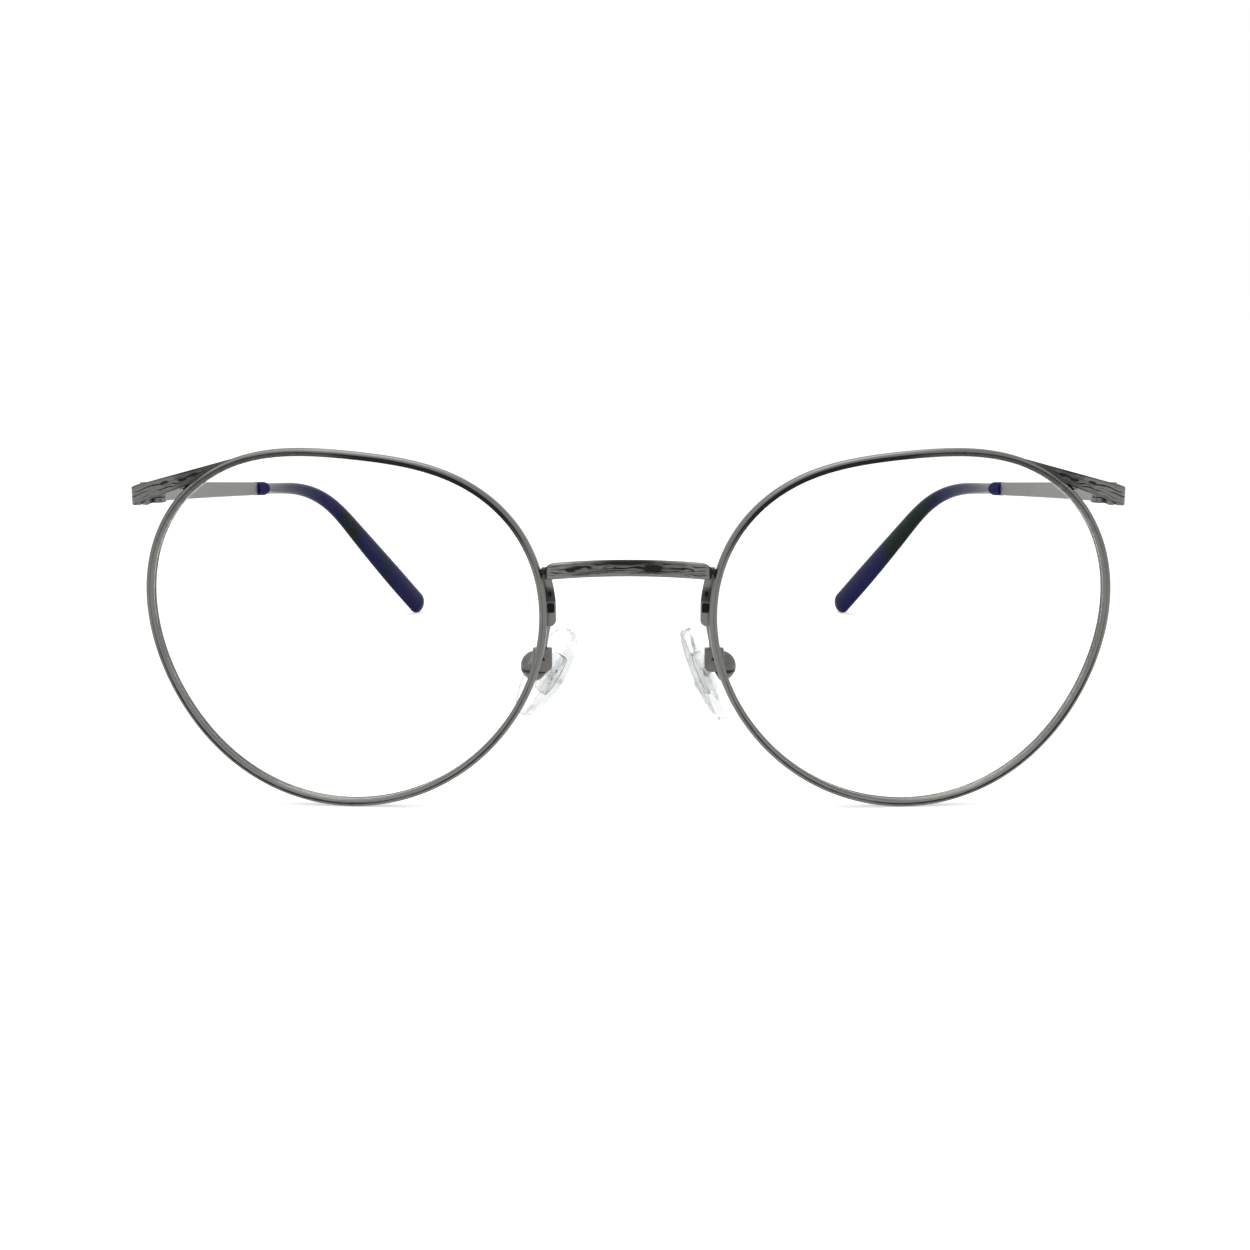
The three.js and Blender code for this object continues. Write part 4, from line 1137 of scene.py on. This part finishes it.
# --- Nose pads
def add_plate(skin, middle_x, middle_y, z, x, y, mark):
    """Adds a plate that faces forward: its sections, set at heights z"""
    middles = np.broadcast_arrays(middle_x, FRONT_Y + middle_y, z)
    skin.add(swept(np.column_stack(middles), ACROSS, FORWARD, x, y), mark=np.clip(mark, 0.0, 1.0))


def foot_shell(skin):
    """Adds the foot: a plate whose nose edge slants in and then turns under in a quarter circle,
    with a square hollow in its front, a small round one above it, and a band of painted shade about the
    small one"""
    top, bottom, corner, slant = FOOT["top"], FOOT["bottom"], 0.8, 0.9
    ease = 0.15
    z = np.concatenate([
        top - easing(ease, 5), np.linspace(top - ease, bottom + corner, 70)[1:],
        bottom + corner - corner * np.sin(np.linspace(0.0, 0.97 * np.pi / 2, 12))[1:]])
    share = np.clip((top - z) / (top - FOOT_END), 0.0, 1.0)
    under = end_rounding(z - bottom, corner)
    nose = FOOT["nose"] + slant * (1.0 - share) ** 1.6 + under
    near_top = end_rounding(top - z, ease)
    across = (FOOT["rim"] - nose) / 2 - near_top
    middle = (FOOT["rim"] + nose) / 2
    depth = np.full_like(z, FOOT["thick"] / 2) - near_top * 0.5
    x, y, place = rounded_section(across, depth, 0.16, face=22)
    high = z[:, None]
    away = middle[:, None] + np.nan_to_num(place) * across[:, None] - FOOT["nose"]
    (square_z, square_x), (spot_z, spot_x) = (
        ((high - mark["height"]) / mark["half_height"], (away - mark["from_nose"]) / mark["half_width"])
        for mark in (FOOT_HOLLOW, FOOT_SPOT))
    square = square_z**4 + square_x**4
    spot = np.hypot(spot_z, spot_x)
    hollows = np.maximum(1.0 - smoothstep(square, 0.6, 1.1), 0.6 * (1.0 - smoothstep(spot, 0.6, 1.0)))
    # painted shade: a darker band about the small hollow
    painted_shade = 0.6 * smoothstep(high, 26.6, 27.2) * (1.0 - smoothstep(high, 28.2, 29.4))
    y, cut = cut_face(y, place, 0.2 * hollows)
    add_plate(skin, middle, FOOT["front"] + FOOT["thick"] / 2, z, x, y, cut / 0.18 + painted_shade)


def wire_shell(skin):
    """Adds the bent wire: a circle carried along a smooth curve through five places"""
    knots = np.array(WIRE_BENDS)
    lead = np.vstack([2 * knots[0] - knots[1], knots, 2 * knots[-1] - knots[-2]])
    share = np.linspace(0.0, 1.0, 14, endpoint=False)[:, None]
    spans = []
    for before, first, second, after in zip(lead, lead[1:], lead[2:], lead[3:]):
        spans.append(0.5 * (
            2 * first + (second - before) * share
            + (2 * before - 5 * first + 4 * second - after) * share**2
            + (3 * first - before - 3 * second + after) * share**3))
    path = np.vstack([*spans, knots[-1:]]) + (0.0, FRONT_Y, 0.0)
    ahead = unit(np.gradient(path, axis=0))
    sideways = unit(np.cross(ahead, np.array([0.0, 0.3, 1.0])))
    circle = arc_points(WIRE_RADIUS, 0.0, 2 * np.pi, 25)[:-1]
    x, y = (np.broadcast_to(part, (len(path), 24)) for part in circle.T)
    skin.add(swept(path, sideways, np.cross(ahead, sideways), x, y))


def tongue_shell(skin):
    """Adds the tongue: a plate with round lower corners and two small dots near its rim edge"""
    half, thick = TONGUE["width"] / 2, TONGUE["thick"]
    top, bottom, corner = TONGUE["top"], TONGUE["bottom"], TONGUE["corner"]
    ease = 0.2
    z = np.concatenate([
        top - easing(ease, 6), np.linspace(top - ease, bottom + corner, 44)[1:],
        bottom + corner * (1.0 - np.sin(np.linspace(0.0, 0.97 * np.pi / 2, 14)))[1:]])
    across = half - end_rounding(z - bottom, corner) - end_rounding(top - z, ease)
    deep = np.full_like(z, thick / 2) - end_rounding(top - z, ease)
    x, y, place = rounded_section(across, deep, 0.2, face=18)
    level = np.nan_to_num(place) * across[:, None]
    dots = sum(
        smoothstep(1.0 - np.hypot(level + aside, z[:, None] - top + low) / DOT_RADIUS, 0.0, 0.6)
        for aside, low in TONGUE_DOTS)
    y, cut = cut_face(y, place, 0.12 * dots)
    add_plate(skin, TONGUE["x"], TONGUE["y"], z, x, y, 0.25 + cut / 0.08)


def make_pad_arm(side):
    """A pad arm: its foot behind the rim, its bent wire and its tongue on the cup"""
    skin = Skin(side)
    for add_shell in (foot_shell, wire_shell, tongue_shell):
        add_shell(skin)
    skin.piece("pad_arm_wire_SIDE", gunmetal, "front", "SIDE_pad_arm")


def make_pad_cup(side):
    """A cup: most of a ball, turned about the pad's nose direction, with a round hollow"""
    radius, cavity, mouth = CUP["radius"], CUP["cavity"], CUP["mouth"]
    outer = arc_points(radius, -0.47 * np.pi, math.asin(mouth / radius) - 0.03, 40)
    inner = arc_points(cavity, math.asin(mouth / cavity), -0.47 * np.pi, 24)
    centre, axes = pad_frame(side)
    rings = centre + turned(np.concatenate([outer, inner]), 72) @ axes
    start, end = (centre - size * axes[2] for size in (radius, cavity))
    # painted shadow: a dark crescent on the cup just below the tongue's lower edge
    tongue_shadow = np.exp(-(((rings[..., 2] - TONGUE["bottom"] + 0.2) / 0.2) ** 2))
    mark = 0.3 + 0.7 * tongue_shadow * (rings[..., 1] < centre[1])
    skin = Skin(side).add(rings, mark=mark, start=start, end=end)
    skin.piece("pad_cup_shell_SIDE", gunmetal, "front", "SIDE_pad_cup")


def make_pad_insert(side):
    """An insert: a ball and neck turned about the nose direction, and a soft plate on the neck"""
    neck_at = math.acos(NECK_RADIUS / BALL_RADIUS)
    ball = arc_points(BALL_RADIUS, -0.47 * np.pi, neck_at, 24)
    neck = [(NECK_RADIUS, PLATE["from"] - 0.35), (NECK_RADIUS + 0.25, PLATE["from"] + 0.1)]
    rings = turned(np.concatenate([ball, neck]), 40)
    outline = squared_ring(PLATE["width"] / 2, PLATE["length"] / 2, 0.55, turn_of(64))
    low, high = PLATE["from"], PLATE["from"] + PLATE["thick"]
    plate = stacked(outline, (
        (0.9, low), (0.97, low + 0.05), (1.0, low + 0.15), (1.0, high - 0.15), (0.97, high - 0.05),
        (0.9, high)))
    centre, axes = pad_frame(side)
    skin = Skin(side).add(centre + rings @ axes, start=centre - BALL_RADIUS * axes[2])
    skin.add(centre + plate @ axes)
    skin.piece("pad_core_SIDE", insert_plastic, "SIDE_pad", "SIDE_pad_insert")


def make_nose_pad(side):
    """A nose pad: an oval drop, narrower towards its lower end. Its thickness is the square root of
    a ball's height, so its two faces are flat and its edge is full"""
    polar = np.linspace(0.0, np.pi, steps(74))[1:-1, None]
    angle = turn_of(steps(96))
    y = np.sin(polar) * np.sin(angle)
    x = np.sin(polar) * np.cos(angle) * (1.0 - 0.2 * smoothstep(-y, 0.0, 1.0))
    z = np.broadcast_to(np.cos(polar), x.shape)
    drop = np.stack([x, y, np.sign(z) * np.sqrt(np.abs(z))], axis=-1)
    half = np.array([PAD["width"], PAD["length"], PAD["thick"]]) / 2
    middle = np.array([-PAD["back"], -PAD["down"], PAD["from"] + half[2]])
    centre, axes = pad_frame(side)
    start, end = (centre + (middle + pole * half) @ axes for pole in (UPWARD, -UPWARD))
    skin = Skin(side).add(centre + (middle + drop * half) @ axes, start=start, end=end)
    skin.piece("nose_pad_soft_SIDE", clear_silicone, "SIDE_pad", "SIDE_nose_pad")


# --- Stage
CAMERA = {"distance": 0.211, "elevation": 11.65, "azimuth": 0.1, "lens": 47.78,
          "shift": (-0.00256, 0.00088)}
SOFTBOXES = (  # name, place, aim, size in metres, and brightness of its face beside white
    ("top_softbox", (0.0, 0.02, 0.5), (0.0, 0.0, 0.0), 0.3, 2.6),
    ("left_softbox", (-0.5, -0.35, 0.3), (0.0, -0.03, 0.02), 0.16, 2.0),
    ("right_softbox", (0.55, -0.3, 0.28), (0.0, -0.03, 0.02), 0.16, 1.6),
)


def seen_rays(finish):
    """1 for rays that show the background: from the camera, off a gloss or through glass"""
    seen = finish.node("ShaderNodeLightPath", output="Is Camera Ray")
    for output in ("Is Glossy Ray", "Is Transmission Ray"):
        ray = finish.node("ShaderNodeLightPath", output=output)
        seen = finish.node("ShaderNodeMath", {"operation": "MAXIMUM"}, {0: seen, 1: ray})
    return seen


def pale_floor(finish):
    """A plain pale floor that shows as white, and darkens where the object shades it"""
    pale = finish.node("ShaderNodeBsdfDiffuse", inputs={"Color": (0.8, 0.8, 0.8, 1.0)})
    glow = finish.node("ShaderNodeEmission", inputs={"Color": (1.0, 1.0, 1.0, 1.0), "Strength": 0.52})
    both = finish.node("ShaderNodeAddShader", inputs={0: pale, 1: glow})
    return finish.surface(finish.node(
        "ShaderNodeMixShader", inputs={0: seen_rays(finish), 1: pale, 2: both}))


def make_stage():
    """A wide floor, a white surround, a soft sun, three softboxes and the camera"""
    scene = bpy.context.scene
    scene.view_settings.view_transform = "Standard"

    reach = 3.0
    ring = arc_points(reach, 0.0, 2 * np.pi, 65)[:-1]
    mesh = bpy.data.meshes.new("floor")
    mesh.from_pydata([(x, y, -0.00002) for x, y in ring], [], [list(range(64))])
    mesh.materials.append(material(pale_floor))
    floor = bpy.data.objects.new("floor", mesh)
    scene.collection.objects.link(floor)

    world = bpy.data.worlds.new("surround")
    scene.world = world
    finish = Finish(world)
    strength = finishes().sky + (1.0 - finishes().sky) * seen_rays(finish)
    finish.surface(finish.node("ShaderNodeBackground", inputs={
        "Color": (1.0, 1.0, 1.0, 1.0), "Strength": strength}))

    sun = bpy.data.lights.new("soft_sun", "SUN")
    sun.angle = math.radians(50)
    sun.energy = 0.3 * math.pi
    softboxes = [(sun, (-0.25, -0.35, 0.9), (0.0, 0.0, 0.0))]
    for name, place, aim, size, brightness in SOFTBOXES:
        light = bpy.data.lights.new(name, "AREA")
        light.shape = "SQUARE"
        light.size = size
        light.energy = brightness * math.pi * size**2
        softboxes.append((light, place, aim))
    for light, place, aim in softboxes:
        lamp = bpy.data.objects.new(light.name, light)
        lamp.location = place
        lamp.rotation_mode = "QUATERNION"
        lamp.rotation_quaternion = (Vector(aim) - Vector(place)).to_track_quat("-Z", "Y")
        scene.collection.objects.link(lamp)

    azimuth, elevation = math.radians(CAMERA["azimuth"]), math.radians(CAMERA["elevation"])
    away = Vector((math.sin(azimuth) * math.cos(elevation), -math.cos(azimuth) * math.cos(elevation),
                   math.sin(elevation)))
    aim = Vector((0.0, FRONT_Y, LENS_Z - 0.24)) * MM
    camera = bpy.data.cameras.new("camera")
    camera.sensor_width = 36.0
    camera.lens = CAMERA["lens"]
    camera.shift_x, camera.shift_y = CAMERA["shift"]
    camera.clip_start, camera.clip_end = 0.01, 20.0
    eye = bpy.data.objects.new("camera", camera)
    eye.location = aim + away * CAMERA["distance"]
    eye.rotation_mode = "QUATERNION"
    eye.rotation_quaternion = (-away).to_track_quat("-Z", "Y")
    scene.collection.objects.link(eye)
    scene.camera = eye


# --- Add-on
def make_sides(*makers):
    """Runs make functions for the left and the right side"""
    for make in makers:
        for side in SIDES:
            make(side)


class MakeStage(bpy.types.Operator):
    """Make the floor, the surround, the lamps and the camera"""

    bl_idname = "eyeglasses.stage"
    bl_label = "Stage"

    def execute(self, context):
        make_stage()
        return {"FINISHED"}


class MakeRims(bpy.types.Operator):
    """Make the two rims"""

    bl_idname = "eyeglasses.rims"
    bl_label = "Rims"

    def execute(self, context):
        make_sides(make_rim)
        return {"FINISHED"}


class MakeLenses(bpy.types.Operator):
    """Make the two lenses"""

    bl_idname = "eyeglasses.lenses"
    bl_label = "Lenses"

    def execute(self, context):
        make_sides(make_lens)
        return {"FINISHED"}


class MakeClosingBlocks(bpy.types.Operator):
    """Make the blocks and screws that close the rims round the lenses"""

    bl_idname = "eyeglasses.closing_blocks"
    bl_label = "Closing blocks and rim screws"

    def execute(self, context):
        make_sides(make_closing_blocks)
        return {"FINISHED"}


class MakeBridge(bpy.types.Operator):
    """Make the engraved bridge and its links to the rims"""

    bl_idname = "eyeglasses.bridge"
    bl_label = "Bridge"

    def execute(self, context):
        make_bridge()
        return {"FINISHED"}


class MakeEndPieces(bpy.types.Operator):
    """Make the two engraved end pieces"""

    bl_idname = "eyeglasses.end_pieces"
    bl_label = "End pieces"

    def execute(self, context):
        make_sides(make_end_piece)
        return {"FINISHED"}


class MakeHinges(bpy.types.Operator):
    """Make the leaves, knuckles and screws of the temple hinges"""

    bl_idname = "eyeglasses.hinges"
    bl_label = "Hinges"

    def execute(self, context):
        make_sides(make_hinge)
        return {"FINISHED"}


class MakeTempleArms(bpy.types.Operator):
    """Make the metal strips and core wires of the temples"""

    bl_idname = "eyeglasses.temple_arms"
    bl_label = "Temple arms"

    def execute(self, context):
        make_sides(make_temple_arm)
        return {"FINISHED"}


class MakeTempleTips(bpy.types.Operator):
    """Make the acetate tips of the temples"""

    bl_idname = "eyeglasses.temple_tips"
    bl_label = "Temple tips"

    def execute(self, context):
        make_sides(make_temple_tip)
        return {"FINISHED"}


class MakePadArms(bpy.types.Operator):
    """Make the feet, wires and tongues that carry the nose pads"""

    bl_idname = "eyeglasses.pad_arms"
    bl_label = "Pad arms"

    def execute(self, context):
        make_sides(make_pad_arm)
        return {"FINISHED"}


class MakePadCups(bpy.types.Operator):
    """Make the cups that hold the nose pads"""

    bl_idname = "eyeglasses.pad_cups"
    bl_label = "Pad cups"

    def execute(self, context):
        make_sides(make_pad_cup)
        return {"FINISHED"}


class MakeNosePads(bpy.types.Operator):
    """Make the silicone nose pads and the hard cores inside them"""

    bl_idname = "eyeglasses.nose_pads"
    bl_label = "Nose pads"

    def execute(self, context):
        make_sides(make_pad_insert, make_nose_pad)
        return {"FINISHED"}


OPERATORS = (
    MakeStage, MakeRims, MakeLenses, MakeClosingBlocks, MakeBridge, MakeEndPieces, MakeHinges,
    MakeTempleArms, MakeTempleTips, MakePadArms, MakePadCups, MakeNosePads,
)


class EyeglassesPanel(bpy.types.Panel):
    """Sizes, colours and the steps that make the eyeglasses"""

    bl_idname = "VIEW3D_PT_eyeglasses"
    bl_label = "Eyeglasses"
    bl_space_type = "VIEW_3D"
    bl_region_type = "UI"
    bl_category = "Eyeglasses"

    def draw(self, context):
        for group in (context.scene.eyeglasses_sizes, context.scene.eyeglasses_finishes):
            for name in group.__annotations__:
                self.layout.prop(group, name)
        for operator in OPERATORS:
            self.layout.operator(operator.bl_idname)


CLASSES = (EyeglassesSizes, EyeglassesFinishes, *OPERATORS, EyeglassesPanel)


def register():
    for each in CLASSES:
        bpy.utils.register_class(each)
    bpy.types.Scene.eyeglasses_sizes = bpy.props.PointerProperty(type=EyeglassesSizes)
    bpy.types.Scene.eyeglasses_finishes = bpy.props.PointerProperty(type=EyeglassesFinishes)


def unregister():
    del bpy.types.Scene.eyeglasses_finishes
    del bpy.types.Scene.eyeglasses_sizes
    for each in reversed(CLASSES):
        bpy.utils.unregister_class(each)


def main():
    """Makes the stage and every piece"""
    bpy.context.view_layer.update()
    register()
    for operator in OPERATORS:
        group, name = operator.bl_idname.split(".")
        getattr(getattr(bpy.ops, group), name)()


if __name__ == "__main__":
    main()
